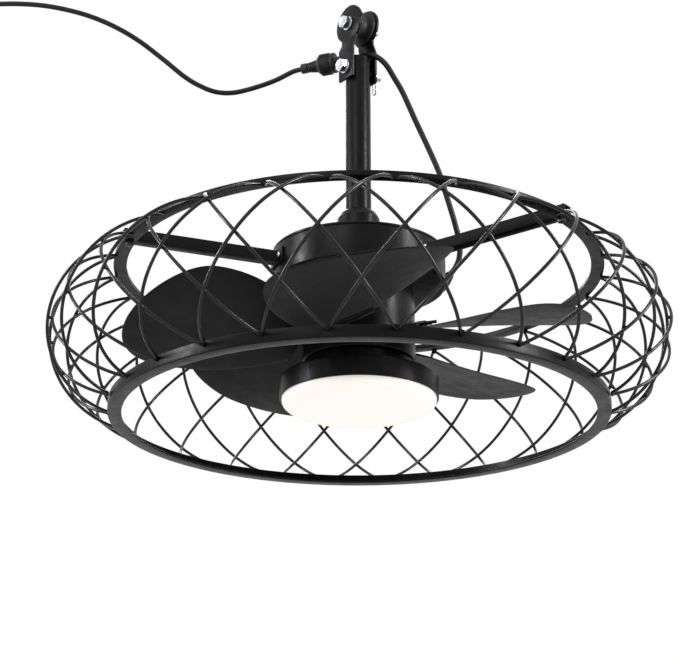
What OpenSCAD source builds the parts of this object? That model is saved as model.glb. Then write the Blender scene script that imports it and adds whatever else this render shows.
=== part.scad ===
// Caged gazebo ceiling fan with a lamp, hung from a grooved sheave on a downrod.
// Origin: centre of the hanging sheave. X runs along the hanger bolts, Z is up.

/* [Hanger] */
// Outer diameter of the hanging sheave
sheave_d = 38; // [34:1:40]
// Diameter at the bottom of the sheave's groove
groove_d = 26; // [22:1:28]
// Width of the flat bottom of the groove
groove_w = 8; // [6:1:10]
// Diameter of the two hanger bolts
bolt_d = 8; // [6:1:9]
// Distance from the upper to the lower hanger bolt
bolt_pitch = 53; // [50:1:60]
// Diameter of the cheek plates' round heads
cheek_head_d = 42; // [40:1:48]
// Width of the cheek plates below their heads
cheek_neck_w = 24; // [20:1:26]
// Thickness of each cheek plate
cheek_t = 3; // [2:0.5:4]
// How much nearer the middle the cheek plates' heads lie than their feet
cheek_jog = 4; // [2:0.5:5]
// How far the cheek plates reach below the lower bolt
cheek_foot = 14; // [11:1:18]

/* [Downrod] */
// Outer diameter of the downrod
rod_d = 26.7; // [24:0.1:28]
// Wall of the downrod
rod_wall = 2; // [1.5:0.5:3]
// How far the downrod reaches above the lower bolt
rod_above_bolt = 13; // [9:1:13]
// Distance from the lower hanger bolt to the top of the motor drum
rod_drop = 211; // [180:1:240]

/* [Motor drum] */
// Outer diameter of the fixed motor drum
drum_d = 178; // [160:1:190]
// Height of the drum with its lid
drum_h = 37; // [32:1:44]
// Wall of the drum
drum_wall = 2.5; // [2:0.5:3]
// Thickness of the drum's lid
lid_t = 3; // [2:0.5:4]
// Diameter of the coupling cover where it sits on the drum
cover_d = 62; // [56:1:70]
// How far the top of the cage's upper ring lies below the top of the drum
ring_below_drum = 19; // [14:1:24]
// Height of the coupling cover
cover_h = 47; // [44:1:52]
// Outer diameter of the hollow axle
axle_d = 14; // [12:1:16]
// Bore of the hollow axle
axle_bore = 8; // [6:1:9]

/* [Rotor] */
// Outer diameter of the rotor hub
hub_d = 114; // [108:1:120]
// Height of the rotor hub
hub_h = 80.5; // [70:0.5:84]
// Wall of the rotor hub
hub_wall = 3; // [2:0.5:4]
// Gap between the drum and the hub, and between the hub and the lamp bracket
spin_gap = 1.5; // [1:0.5:3]
// Number of blades
blade_count = 5; // [5:1:5]
// Radius at the blade tips
blade_tip_r = 236; // [200:1:237]
// Greatest width of a blade
blade_w = 183; // [120:1:186]
// Width of a blade at its root
blade_root_w = 68; // [50:1:80]
// Thickness of a blade
blade_t = 2.6; // [2:0.1:4]
// Pitch of a blade at the root, in degrees
root_pitch = 24; // [15:1:28]
// Pitch of a blade at the tip, in degrees
tip_pitch = 13; // [8:1:18]
// How far the blades trail behind their radial lines
blade_sweep = 29; // [20:1:32]
// Drop of a blade's middle line across its width
blade_camber = 6; // [3:1:8]

/* [Lamp] */
// Diameter of the lamp housing
lamp_d = 160; // [140:1:170]
// Height of the lamp housing
lamp_h = 21; // [18:1:28]
// Wall of the lamp housing
lamp_wall = 2; // [1.5:0.5:3]
// Gap between the diffuser's edge and the housing's wall
diffuser_gap = 0.3; // [0.2:0.1:0.8]
// How far the diffuser stands below the housing
diffuser_drop = 13.5; // [10:0.5:18]
// Diameter of the lamp bracket
bracket_d = 112; // [100:1:116]
// Height of the lamp bracket
bracket_h = 15.5; // [13:0.5:18]

/* [Cage] */
// Outer diameter of both cage rings
ring_d = 500; // [490:1:520]
// Distance from the bottom of the lower ring to the top of the upper ring
cage_h = 160; // [150:1:170]
// Width of the lower ring's flange
lower_flange_w = 14; // [10:1:18]
// Height of the lower ring's outer leg
lower_leg_h = 12; // [9:1:16]
// Sheet thickness of the lower ring
lower_ring_t = 2; // [1.5:0.5:3]
// Width of the upper ring
upper_ring_w = 13.5; // [11:0.5:16]
// Thickness of the upper ring
upper_ring_t = 5; // [4:0.5:6]
// Diameter of the cage wires
wire_d = 3.3; // [2:0.1:3.6]
// Number of wires in each direction
wire_count = 26; // [22:2:28]
// Greatest radius of the outer family of wires
wire_reach = 313.2; // [300:0.2:330]
// Radial step between the two families of wires
wire_step = 4.4; // [4.2:0.1:6]
// Number of arms
arm_count = 3; // [3:1:3]
// Width and height of the square arms
arm_w = 12; // [10:1:14]
// Wall of the arms
arm_wall = 1.5; // [1:0.5:2]

/* [Cords] */
// Diameter of the supply cord
cord_d = 5.4; // [4:0.1:5.6]
// Diameter of the motor lead
lead_d = 6; // [5:0.1:6.4]
// Diameter of the connector's ribbed nut
nut_d = 24; // [20:1:25]
// Loops in the stored coil of supply cord
coil_loops = 19.25; // [15.25:1:19.25]
// Radius of the coil's innermost turns
coil_inner_r = 23; // [22:1:26]

/* [Hidden] */

// Clearances
run_gap = 0.05;
seat_gap = 0.02;
side_gap = 0.3;
eps = 0.01;
round_fn = 96;

// Finishes
iron_black = [0.09, 0.09, 0.095];
zinc = [0.72, 0.73, 0.75];
blade_black = [0.13, 0.13, 0.13];
copper = [0.72, 0.42, 0.22];

// Hanger
bolt_r = bolt_d / 2;
cheek_in = rod_d / 2 + side_gap;
cheek_out = cheek_in + cheek_t;
sheave_w = 2 * (cheek_in - cheek_jog - side_gap);
bush_r = bolt_r + 3;
washer_t = 1.6;
washer_r = bolt_r * 1.9;
spring_t = 1.8;
spring_r = bolt_r * 1.55;
head_h = 5.3;
head_r = bolt_r * 1.85;
bolt_tail = 12;
clip_wire = 1.8;
clip_x = cheek_out + washer_t + 6;
lower_bolt_z = -bolt_pitch;
bolt_places = [[cheek_jog, 0], [0, lower_bolt_z]];
cheek_bend_h = 9;

// Heights down the fan
rod_top_z = lower_bolt_z + rod_above_bolt;
drum_top_z = lower_bolt_z - rod_drop;
drum_bottom_z = drum_top_z - drum_h;
lid_bottom_z = drum_top_z - lid_t;
drum_floor_z = drum_bottom_z + drum_wall;
hub_top_z = drum_bottom_z - spin_gap;
hub_bottom_z = hub_top_z - hub_h;
bracket_top_z = hub_bottom_z - spin_gap;
bracket_bottom_z = bracket_top_z - bracket_h;
lamp_top_z = bracket_bottom_z;
lamp_bottom_z = lamp_top_z - lamp_h;
lamp_screw_r = 46;
lamp_screw_phase = 75;
led_board_r = 68;

// Downrod and coupling
rod_r = rod_d / 2;
rod_bore_r = rod_r - rod_wall;
collar_r = 18;
collar_foot_t = 4;
collar_top_z = drum_top_z + 32;
rod_bottom_z = drum_top_z + collar_foot_t + 4;
pin_d = 6;
pin_z = rod_bottom_z + 10;
collar_floor_z = rod_bottom_z - seat_gap;

// Axle and motor
arm_phase = 45;
drum_r = drum_d / 2;
lid_screw_r = drum_r - 14;
lid_screw_phase = arm_phase + 60;
board_t = 1.6;
board_r = 62;
board_bore_r = 22;
board_lift = 12;
board_post_r = 50;
board_post_phase = arm_phase + 20;
stator_yoke_r = 20;
axle_r = axle_d / 2;
axle_top_z = collar_floor_z - seat_gap;
bearing_r = axle_r + 9;
bearing_h = 9;
hub_r = hub_d / 2;
hub_plate_t = 3;
magnet_t = 4;
magnet_count = 14;
magnet_gap = 1;
magnet_h = 34;
magnet_r = hub_r - hub_wall - side_gap / 2;
motor_mid_z = (hub_top_z + hub_bottom_z) / 2;
air_gap = 0.6;
stator_r = magnet_r - magnet_t - air_gap;
stator_h = 26;
tooth_count = 12;
winding_h = stator_h + 8;

// Cage
ring_r = ring_d / 2;
upper_ring_top_z = drum_top_z - ring_below_drum;
lower_ring_z = upper_ring_top_z - cage_h;
upper_ring_z = upper_ring_top_z - upper_ring_t;
wire_r = wire_d / 2;
wire_foot_r = ring_r + wire_r + run_gap;
wire_low_z = lower_ring_z + lower_leg_h - 3;
wire_tip_r = ring_r - 1.2;
wire_high_z = upper_ring_z - wire_r - run_gap;
wire_angle = 360 / wire_count;
wire_phase = 4.5;
tip_shift = 0.5;
arm_low_z = upper_ring_z;
arm_high_z = arm_low_z + arm_w;
arm_screw_r = ring_r - upper_ring_w / 2;
arm_foot_t = 2.5;
arm_foot_w = 32;
arm_foot_h = 15;
m5_r = 2.5;
m3_r = 1.5;
foot_screw_angle = 10 / drum_r * 180 / PI;

// Blades
blade_phase = 25.6;
blade_root_u = 52;
blade_mid_z = hub_top_z - 38.5;
blade_rows = 14;
blade_cols = 10;
blade_widest = 0.7;
blade_droop = 4.5;
boss_angle = -12;
boss_z = blade_mid_z - 10;
boss_screw = 11;

// Routes of the cords: points in millimetres, chosen by hand
lead_route = [
    [-2, 10, -36], [2, 3, -35], [5, -5.5, -35], [8.5, -13.5, -37], [13, -20.5, -42.5], [18.5, -26, -51.5],
    [27, -28.5, -65], [36, -31.5, -81], [48, -37, -112], [59, -44, -143], [68, -50, -171], [76, -53, -199],
    [84, -55, -226], [90.5, -54, -246], [92.5, -51.5, -260], [90.5, -48, -271], [85, -45, -280]];
cord_route = [
    [-31.4, 58.9, -36], [-37, 69, -37], [-48, 85, -44], [-64, 102, -51], [-81, 117, -56],
    [-97, 127, -56], [-113, 134, -51], [-129, 142, -41], [-152, 152, -22], [-176, 162, -4],
    [-200, 173, 10], [-223, 185, 20], [-246, 197, 26], [-269, 211, 30], [-292, 226, 31],
    [-315, 242, 30], [-336, 257, 29], [-355, 271, 29]];
cord_side = [0.6, 0.8, 0];
ring_steps = 2;
gland_angle = -29;
gland_tilt = 55;

// Connector between the two cords
joint_angle = 121;
joint_start = lead_route[0];
joint_lengths = [8, 9, 5, 15, 13, 7];

// Coil of spare cord
coil_angle = -37;
coil_top = cord_route[len(cord_route) - 1];
coil_layers = 4;
coil_rise = cord_d + 0.5;
coil_pitch = cord_d + 0.63;
coil_outer_r = coil_inner_r + coil_pitch * coil_loops / coil_layers;
coil_rings = 24;
coil_tail = 45;
plug_w = 22;
plug_t = 15;
plug_l = 32;

// Geometry helpers

module along_x(x) {
    translate([x, 0, 0]) rotate([0, 90, 0]) children();
}

module tube(r_out, r_in, h) {
    difference() {
        cylinder(r = r_out, h = h, $fn = round_fn);
        translate([0, 0, -1]) cylinder(r = r_in, h = h + 2, $fn = round_fn);
    }
}

module pan_screw(r, shank) {
    cylinder(r = 2 * r, h = 1.2 * r, $fn = 48);
    translate([0, 0, -shank]) cylinder(r = r, h = shank + eps, $fn = 48);
}

module around(count, phase = 0) {
    for (i = [0:count - 1]) rotate([0, 0, phase + i * 360 / count]) children();
}

// Points and tubes along a route

function unit(v) = v / norm(v);

function route_point(p, i) =
    i < 0 ? 2 * p[0] - p[1] : i >= len(p) ? 2 * p[len(p) - 1] - p[len(p) - 2] : p[i];

function route_between(p, i, t) =
    let (a = route_point(p, i - 1), b = p[i], c = p[i + 1], d = route_point(p, i + 2))
    0.5 * (2 * b + (c - a) * t + (2 * a - 5 * b + 4 * c - d) * t * t
        + (3 * b - a - 3 * c + d) * t * t * t);

function smooth_route(p, steps) = [
    for (i = [0:len(p) - 2]) for (k = [0:steps - 1]) route_between(p, i, k / steps),
    p[len(p) - 1]];

function route_length(p) = len(p) < 2 ? 0 : let (d = [for (i = [1:len(p) - 1]) norm(p[i] - p[i - 1])])
    d * [for (x = d) 1];

function tangent(p, i) =
    unit(p[min(i + 1, len(p) - 1)] - p[max(i - 1, 0)]);

function sweep_points(p, r, sides, side) = [
    for (i = [0:len(p) - 1])
        let (t = tangent(p, i), u = unit(cross(side, t)), v = cross(t, u))
        for (k = [0:sides - 1]) let (a = 360 * k / sides) p[i] + r * (cos(a) * u + sin(a) * v)];

function sweep_faces(rings, sides) = concat(
    [for (i = [0:rings - 2]) for (k = [0:sides - 1]) let (n = (k + 1) % sides)
        [i * sides + k, (i + 1) * sides + k, (i + 1) * sides + n]],
    [for (i = [0:rings - 2]) for (k = [0:sides - 1]) let (n = (k + 1) % sides)
        [i * sides + k, (i + 1) * sides + n, i * sides + n]],
    [for (k = [1:sides - 2]) [0, k, k + 1]],
    [for (k = [1:sides - 2]) let (e = (rings - 1) * sides) [e, e + k + 1, e + k]]);

module cord_tube(p, d, sides, side) {
    polyhedron(points = sweep_points(p, d / 2, sides, side), faces = sweep_faces(len(p), sides));
}

// Hanger

module hanger_sheave() {
    flat = groove_w / 2;
    r = sheave_d / 2;
    color(iron_black)
    rotate([0, 90, 0])
    rotate_extrude($fn = round_fn)
    difference() {
        translate([bush_r + seat_gap, -sheave_w / 2]) square([r - bush_r - seat_gap, sheave_w]);
        polygon([[groove_d / 2, -flat], [r + 1, -flat - 3], [r + 1, flat + 3], [groove_d / 2, flat]]);
    }
}

module sheave_bush() {
    color("peru") along_x(-sheave_w / 2) tube(bush_r, bolt_r + run_gap, sheave_w);
}

module hanger_bolt(place) {
    head_x = place[0] - cheek_out - washer_t - spring_t - head_h;
    tail_x = clip_x - place[0] + bolt_tail / 2;
    color(zinc)
    translate([0, 0, place[1]])
    difference() {
        union() {
            along_x(head_x) cylinder(r = head_r, h = head_h, $fn = 6);
            along_x(head_x + head_h - eps) cylinder(r = bolt_r, h = tail_x - head_x - head_h, $fn = 48);
        }
        translate([clip_x - place[0], 0, -2 * bolt_d]) cylinder(r = clip_wire / 2 + seat_gap, h = 4 * bolt_d, $fn = 24);
    }
}

module upper_bolt() { hanger_bolt(bolt_places[0]); }

module lower_bolt() { hanger_bolt(bolt_places[1]); }

module hanger_washers() {
    color(zinc)
    for (place = bolt_places) for (x = [place[0] - cheek_out - washer_t, cheek_out - place[0]])
        translate([0, 0, place[1]]) along_x(x) tube(washer_r, bolt_r + seat_gap, washer_t);
}

module spring_washers() {
    color(zinc)
    for (place = bolt_places)
        translate([place[0] - cheek_out - washer_t - spring_t, 0, place[1]])
        difference() {
            along_x(0) tube(spring_r, bolt_r + seat_gap, spring_t);
            rotate([20, 0, 0]) translate([-1, -0.6, 0]) cube([spring_t + 2, 1.2, spring_r + 2]);
        }
}

module clip_bend(r, from, sweep) {
    rotate([0, 0, from]) rotate_extrude(angle = sweep, $fn = 48) translate([r, 0]) circle(r = clip_wire / 2, $fn = 16);
}

module r_clip() {
    bow = bolt_r + clip_wire / 2 + run_gap;
    end_r = (bow - clip_wire) / 2 + clip_wire / 2;
    leg = 2.2 * bolt_d;
    translate([clip_x, 0, 0]) {
        translate([0, 0, -leg]) cylinder(r = clip_wire / 2, h = leg + bolt_r + 4, $fn = 16);
        translate([0, end_r, -leg]) rotate([90, 0, 90]) clip_bend(end_r, 180, 180);
        translate([0, 2 * end_r, -leg]) cylinder(r = clip_wire / 2, h = leg - bow, $fn = 16);
        translate([0, 2 * end_r + bow, -bow]) rotate([90, 0, 90]) clip_bend(bow, 90, 90);
    }
}

module r_clips() {
    color(zinc) for (place = bolt_places) translate([-place[0], 0, place[1]]) r_clip();
}

module cheek_outline() {
    foot_z = lower_bolt_z - cheek_foot;
    difference() {
        union() {
            circle(d = cheek_head_d, $fn = round_fn);
            translate([-cheek_neck_w / 2, foot_z]) square([cheek_neck_w, -foot_z]);
        }
        circle(r = bolt_r + seat_gap, $fn = 48);
        translate([0, lower_bolt_z]) circle(r = bolt_r + seat_gap, $fn = 48);
    }
}

// Cheek plate, jogged outward below its head to straddle the downrod
module cheek_plate(side) {
    top_z = cheek_head_d / 2 + 1;
    bend_z = -top_z;
    low_z = bend_z - cheek_bend_h;
    end_z = lower_bolt_z - cheek_foot - 1;
    color(iron_black)
    intersection() {
        translate([-cheek_out - 1, 0, 0]) rotate([90, 0, 90]) linear_extrude(2 * cheek_out + 2) cheek_outline();
        translate([0, cheek_head_d / 2 + 1, 0])
        rotate([90, 0, 0])
        linear_extrude(cheek_head_d + 2)
        polygon([
            [side * (cheek_in - cheek_jog), top_z], [side * (cheek_out - cheek_jog), top_z],
            [side * (cheek_out - cheek_jog), bend_z], [side * cheek_out, low_z], [side * cheek_out, end_z],
            [side * cheek_in, end_z], [side * cheek_in, low_z], [side * (cheek_in - cheek_jog), bend_z]
        ]);
    }
}

module cheek_plate_front() { cheek_plate(-1); }

module cheek_plate_rear() { cheek_plate(1); }

// Downrod and coupling

module downrod() {
    color(iron_black)
    difference() {
        translate([0, 0, rod_bottom_z]) tube(rod_r, rod_bore_r, rod_top_z - rod_bottom_z);
        translate([0, 0, lower_bolt_z]) along_x(-rod_d) cylinder(r = bolt_r + run_gap, h = 2 * rod_d, $fn = 48);
        translate([0, 0, pin_z]) along_x(-rod_d) cylinder(r = pin_d / 2 + seat_gap, h = 2 * rod_d, $fn = 48);
    }
}

module coupling_cover() {
    wall = 1.5;
    top_r = rod_r + run_gap + wall;
    foot_r = cover_d / 2;
    shoulder_r = 22;
    color(iron_black)
    translate([0, 0, drum_top_z + seat_gap])
    rotate_extrude($fn = round_fn)
    polygon([
        [foot_r, 0], [foot_r, 2], [foot_r - 5, 5], [shoulder_r + 1.5, 22], [shoulder_r, cover_h - 9],
        [shoulder_r - 3, cover_h - 3.5], [top_r, cover_h], [rod_r + run_gap, cover_h],
        [rod_r + run_gap, cover_h - wall], [shoulder_r - 4, cover_h - 5],
        [shoulder_r - wall, cover_h - 9.5], [shoulder_r, 22], [foot_r - 7, 6], [foot_r - wall, 0]]);
}

module motor_coupling() {
    color("dimgray")
    difference() {
        union() {
            translate([0, 0, drum_top_z + seat_gap]) cylinder(r = collar_r, h = collar_top_z - drum_top_z, $fn = round_fn);
            translate([0, 0, drum_top_z + seat_gap]) cylinder(r = collar_r + 4, h = collar_foot_t, $fn = round_fn);
        }
        translate([0, 0, collar_floor_z]) cylinder(r = rod_r + seat_gap, h = cover_h, $fn = round_fn);
        translate([0, 0, drum_top_z - 1]) cylinder(r = axle_r + seat_gap, h = cover_h, $fn = round_fn);
        translate([0, 0, pin_z]) along_x(-rod_d) cylinder(r = pin_d / 2 + seat_gap, h = 2 * rod_d, $fn = 48);
    }
}

module coupling_pin() {
    color(zinc)
    translate([0, 0, pin_z]) along_x(-collar_r - 0.5) cylinder(r = pin_d / 2, h = 2 * collar_r + 1, $fn = 48);
}

// Motor drum

module motor_top_cover() {
    rib_r = drum_r - drum_wall - 0.2;
    color(iron_black)
    difference() {
        union() {
            translate([0, 0, lid_bottom_z + seat_gap]) cylinder(r = drum_r, h = lid_t - seat_gap, $fn = round_fn);
            translate([0, 0, lid_bottom_z - 4]) tube(rib_r, rib_r - 2, 4 + 1);
        }
        translate([0, 0, lid_bottom_z - 1]) cylinder(r = axle_r + seat_gap, h = lid_t + 2, $fn = round_fn);
        translate([0, 0, lid_bottom_z - 1]) around(3, lid_screw_phase) translate([lid_screw_r, 0, 0])
            cylinder(r = m3_r + 0.1, h = lid_t + 2, $fn = 24);
    }
}

module cover_screws() {
    color(zinc)
    around(3, lid_screw_phase) translate([lid_screw_r, 0, drum_top_z + seat_gap]) pan_screw(m3_r, 10);
}

module motor_housing() {
    post_h = lid_bottom_z - drum_floor_z;
    color(iron_black)
    difference() {
        union() {
            translate([0, 0, drum_bottom_z]) difference() {
                cylinder(r = drum_r, h = drum_h - lid_t, $fn = round_fn);
                translate([0, 0, drum_wall]) cylinder(r = drum_r - drum_wall, h = drum_h, $fn = round_fn);
            }
            translate([0, 0, drum_floor_z - eps]) cylinder(r = axle_r + 5, h = 10, $fn = round_fn);
            around(3, lid_screw_phase) translate([lid_screw_r, 0, drum_floor_z - eps]) cylinder(r = 5, h = post_h, $fn = 48);
            around(3, board_post_phase) translate([board_post_r, 0, drum_floor_z - eps]) cylinder(r = 4, h = board_lift, $fn = 48);
        }
        translate([0, 0, drum_bottom_z - 1]) cylinder(r = axle_r + seat_gap, h = drum_h, $fn = round_fn);
        around(3, lid_screw_phase) translate([lid_screw_r, 0, lid_bottom_z - 12]) cylinder(r = m3_r + 0.05, h = 14, $fn = 24);
        foot_screw_places() translate([0, 0, -8]) cylinder(r = m3_r + 0.1, h = 16, $fn = 24);
        gland_place() translate([0, 0, -28]) cylinder(r = lead_d / 2, h = 26, $fn = 48);
    }
}

module circuit_board() {
    color("seagreen") translate([0, 0, drum_floor_z + board_lift + seat_gap]) tube(board_r, board_bore_r, board_t);
}

module motor_shaft() {
    color("silver")
    translate([0, 0, lamp_top_z + 2]) tube(axle_r, axle_bore / 2, axle_top_z - lamp_top_z - 2);
}

// Rotor and motor

module bearing(z) {
    color("silver") translate([0, 0, z]) tube(bearing_r, axle_r + run_gap, bearing_h);
}

module upper_bearing() { bearing(hub_top_z - bearing_h); }

module lower_bearing() { bearing(hub_bottom_z); }

module stator_core() {
    tooth_w = 7;
    color("slategray")
    translate([0, 0, motor_mid_z - stator_h / 2])
    difference() {
        union() {
            cylinder(r = stator_yoke_r, h = stator_h, $fn = round_fn);
            intersection() {
                cylinder(r = stator_r, h = stator_h, $fn = round_fn);
                around(tooth_count) translate([0, -tooth_w / 2, 0]) cube([stator_r + 1, tooth_w, stator_h]);
            }
            intersection() {
                tube(stator_r, stator_r - 3, stator_h);
                around(tooth_count) translate([0, -9, 0]) cube([stator_r + 1, 18, stator_h]);
            }
        }
        translate([0, 0, -1]) cylinder(r = axle_r + seat_gap, h = stator_h + 2, $fn = round_fn);
    }
}

module stator_windings() {
    tooth_w = 7;
    inner = 27;
    outer = stator_r - 5;
    coil_w = tooth_w + 5;
    color(copper)
    translate([0, 0, motor_mid_z])
    around(tooth_count)
    difference() {
        translate([inner, -coil_w / 2, -winding_h / 2]) cube([outer - inner, coil_w, winding_h]);
        translate([inner - 1, -tooth_w / 2 - 0.1, -stator_h / 2 - 0.1])
            cube([outer - inner + 2, tooth_w + 0.2, stator_h + 0.2]);
    }
}

module rotor_magnets() {
    color("dimgray")
    difference() {
        translate([0, 0, motor_mid_z - magnet_h / 2]) tube(magnet_r, magnet_r - magnet_t, magnet_h);
        around(magnet_count) translate([magnet_r - magnet_t - 1, -magnet_gap / 2, motor_mid_z - magnet_h / 2 - 1])
            cube([magnet_t + 2, magnet_gap, magnet_h + 2]);
        blade_screw_places() translate([0, 0, -hub_wall - magnet_t - 1])
            cylinder(r = 2 * m3_r + run_gap, h = magnet_t + 1, $fn = 48);
    }
}

module blade_hub() {
    color(iron_black)
    difference() {
        translate([0, 0, hub_bottom_z]) cylinder(r = hub_r, h = hub_h - hub_plate_t, $fn = round_fn);
        translate([0, 0, hub_bottom_z + hub_plate_t]) cylinder(r = hub_r - hub_wall, h = hub_h, $fn = round_fn);
        translate([0, 0, hub_bottom_z - 1]) cylinder(r = bearing_r + seat_gap, h = hub_plate_t + 2, $fn = round_fn);
        blade_screw_places() translate([0, 0, -6]) cylinder(r = m3_r + 0.1, h = 12, $fn = 24);
    }
    color(iron_black)
    translate([0, 0, hub_bottom_z + eps]) tube(bearing_r + 4, bearing_r + seat_gap, bearing_h + 3);
}

module hub_top_cover() {
    color(iron_black) {
        translate([0, 0, hub_top_z - hub_plate_t + seat_gap]) tube(hub_r, bearing_r + seat_gap, hub_plate_t - seat_gap);
        translate([0, 0, hub_top_z - bearing_h - 2]) tube(bearing_r + 4, bearing_r + seat_gap, bearing_h);
    }
}

// Blades: s runs from root to tip, c across the blade towards its leading edge

function blade_half(s) = s < blade_widest
    ? blade_root_w / 2 + (blade_w - blade_root_w) / 2 * sin(90 * s / blade_widest)
    : blade_w / 2 * sqrt(max(0, 1 - pow((s - blade_widest) / (1 - blade_widest), 2)));

function blade_line(s) = blade_sweep * (-1 - 0.45 * s + 0.57 * s * s);

function blade_span(i) = let (t = i / blade_rows, k = 0.62)
    t < k ? blade_widest * t / k : blade_widest + (0.998 - blade_widest) * sin(90 * (t - k) / (1 - k));

function blade_surface(s, c, lift) =
    let (b = root_pitch + (tip_pitch - root_pitch) * s,
        u = blade_root_u + (blade_tip_r - blade_root_u) * s,
        arch = blade_camber * (1 - pow(2 * c / blade_w, 2)))
    [u, c * cos(b), c * sin(b) - arch - blade_droop * s + lift];

function blade_grid(lift) = [
    for (i = [0:blade_rows]) let (s = blade_span(i), h = blade_half(s), m = blade_line(s))
        for (j = [0:blade_cols]) let (edge = -cos(180 * j / blade_cols))
            blade_surface(s, m + h * edge, lift * (0.35 + 0.65 * sqrt(1 - edge * edge)))];

function grid_faces(rows, cols, base, flip) = [
    for (i = [0:rows - 1]) for (j = [0:cols - 1]) for (half = [0, 1])
        let (a = base + i * (cols + 1) + j, b = a + 1, c = a + cols + 1, d = c + 1,
            f = half == 0 ? [a, b, d] : [a, d, c])
        flip ? [f[2], f[1], f[0]] : f];

function rim(rows, cols) = concat(
    [for (j = [0:cols]) j],
    [for (i = [1:rows]) i * (cols + 1) + cols],
    [for (j = [cols - 1:-1:0]) rows * (cols + 1) + j],
    [for (i = [rows - 1:-1:1]) i * (cols + 1)]);

function rim_faces(r, base) = [
    for (k = [0:len(r) - 1]) for (half = [0, 1])
        let (a = r[k], b = r[(k + 1) % len(r)])
        half == 0 ? [a, a + base, b + base] : [a, b + base, b]];

module blade_skin() {
    top = blade_grid(blade_t / 2);
    bottom = blade_grid(-blade_t / 2);
    polyhedron(
        points = concat(top, bottom),
        faces = concat(
            grid_faces(blade_rows, blade_cols, 0, false),
            grid_faces(blade_rows, blade_cols, len(top), true),
            rim_faces(rim(blade_rows, blade_cols), len(top))));
}

module blade(k) {
    color(blade_black)
    difference() {
        rotate([0, 0, blade_phase + k * 360 / blade_count]) {
            translate([0, 0, blade_mid_z]) blade_skin();
            rotate([0, 0, boss_angle]) translate([hub_r - 2, 0, boss_z]) rotate([root_pitch, 0, 0])
                translate([0, -18, -6]) cube([13, 36, 10]);
        }
        rotate([0, 0, blade_phase + k * 360 / blade_count]) one_blade_screw_places() translate([0, 0, -3])
            cylinder(r = m3_r + seat_gap, h = 12, $fn = 24);
        translate([0, 0, hub_bottom_z - 5]) cylinder(r = hub_r + 0.3, h = hub_h + 10, $fn = round_fn);
    }
}

module blade_1() { blade(0); }
module blade_2() { blade(1); }
module blade_3() { blade(2); }
module blade_4() { blade(3); }
module blade_5() { blade(4); }

module one_blade_screw_places() {
    step = boss_screw * cos(root_pitch) / hub_r * 180 / PI;
    for (side = [-1, 1])
        rotate([0, 0, boss_angle + side * step])
        translate([hub_r, 0, boss_z - 1 + side * boss_screw * sin(root_pitch)])
        rotate([0, 90, 0])
        children();
}

module blade_screw_places() {
    around(blade_count, blade_phase) one_blade_screw_places() children();
}

module blade_screws() {
    color(zinc)
    blade_screw_places() translate([0, 0, -hub_wall - 0.2]) rotate([180, 0, 0]) pan_screw(m3_r, hub_wall + 8);
}

// Lamp

module lamp_bracket() {
    top_t = 3;
    color(iron_black)
    difference() {
        union() {
            translate([0, 0, bracket_bottom_z + seat_gap]) difference() {
                cylinder(r = bracket_d / 2, h = bracket_h - seat_gap, $fn = round_fn);
                translate([0, 0, -1]) cylinder(r = bracket_d / 2 - 3, h = bracket_h - top_t + 1, $fn = round_fn);
            }
            translate([0, 0, bracket_bottom_z + seat_gap]) around(3, lamp_screw_phase) translate([lamp_screw_r, 0, 0])
                cylinder(r = 4, h = bracket_h - 1, $fn = 48);
        }
        translate([0, 0, bracket_bottom_z - 1]) cylinder(r = axle_r + seat_gap, h = bracket_h + 2, $fn = round_fn);
        translate([0, 0, bracket_bottom_z - 1]) around(3, lamp_screw_phase) translate([lamp_screw_r, 0, 0]) cylinder(r = m3_r + seat_gap, h = 10, $fn = 24);
    }
}

module axle_nut() {
    nut_t = 6;
    color(zinc)
    translate([0, 0, bracket_top_z - 3 - seat_gap - nut_t])
    difference() {
        cylinder(r = axle_d * 0.85, h = nut_t, $fn = 6);
        translate([0, 0, -1]) cylinder(r = axle_r + seat_gap, h = nut_t + 2, $fn = 48);
    }
}

module lamp_housing() {
    lead_hole_r = 12;
    color(iron_black)
    difference() {
        translate([0, 0, lamp_bottom_z]) cylinder(d = lamp_d, h = lamp_h, $fn = round_fn);
        translate([0, 0, lamp_bottom_z - 1]) cylinder(r = lamp_d / 2 - lamp_wall, h = lamp_h - lamp_wall + 1, $fn = round_fn);
        translate([0, 0, lamp_top_z - 5]) cylinder(r = lead_hole_r, h = 10, $fn = 48);
        translate([0, 0, lamp_top_z - 5]) around(3, lamp_screw_phase) translate([lamp_screw_r, 0, 0]) cylinder(r = m3_r + seat_gap, h = 10, $fn = 24);
    }
}

module lamp_screws() {
    color(zinc)
    around(3, lamp_screw_phase) translate([lamp_screw_r, 0, lamp_top_z - lamp_wall - seat_gap]) rotate([180, 0, 0]) pan_screw(m3_r, 9);
}

module led_board() {
    chip = 5;
    top_z = lamp_top_z - lamp_wall - side_gap;
    difference() {
        union() {
            color("whitesmoke") translate([0, 0, top_z - board_t]) tube(led_board_r, axle_d, board_t);
            color("gold")
            for (ring = [[12, 30], [24, 58]])
                around(ring[0]) translate([ring[1] - chip / 2, -chip / 2, top_z - board_t - 0.8]) cube([chip, chip, 1]);
        }
        around(3, lamp_screw_phase) translate([lamp_screw_r, 0, top_z - board_t - 2]) cylinder(r = 4.5, h = 6, $fn = 48);
    }
}

function dome(r, drop) = [for (a = [0:6:90]) [r * pow(cos(a), 2 / 3), -drop * pow(sin(a), 2 / 3)]];

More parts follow.
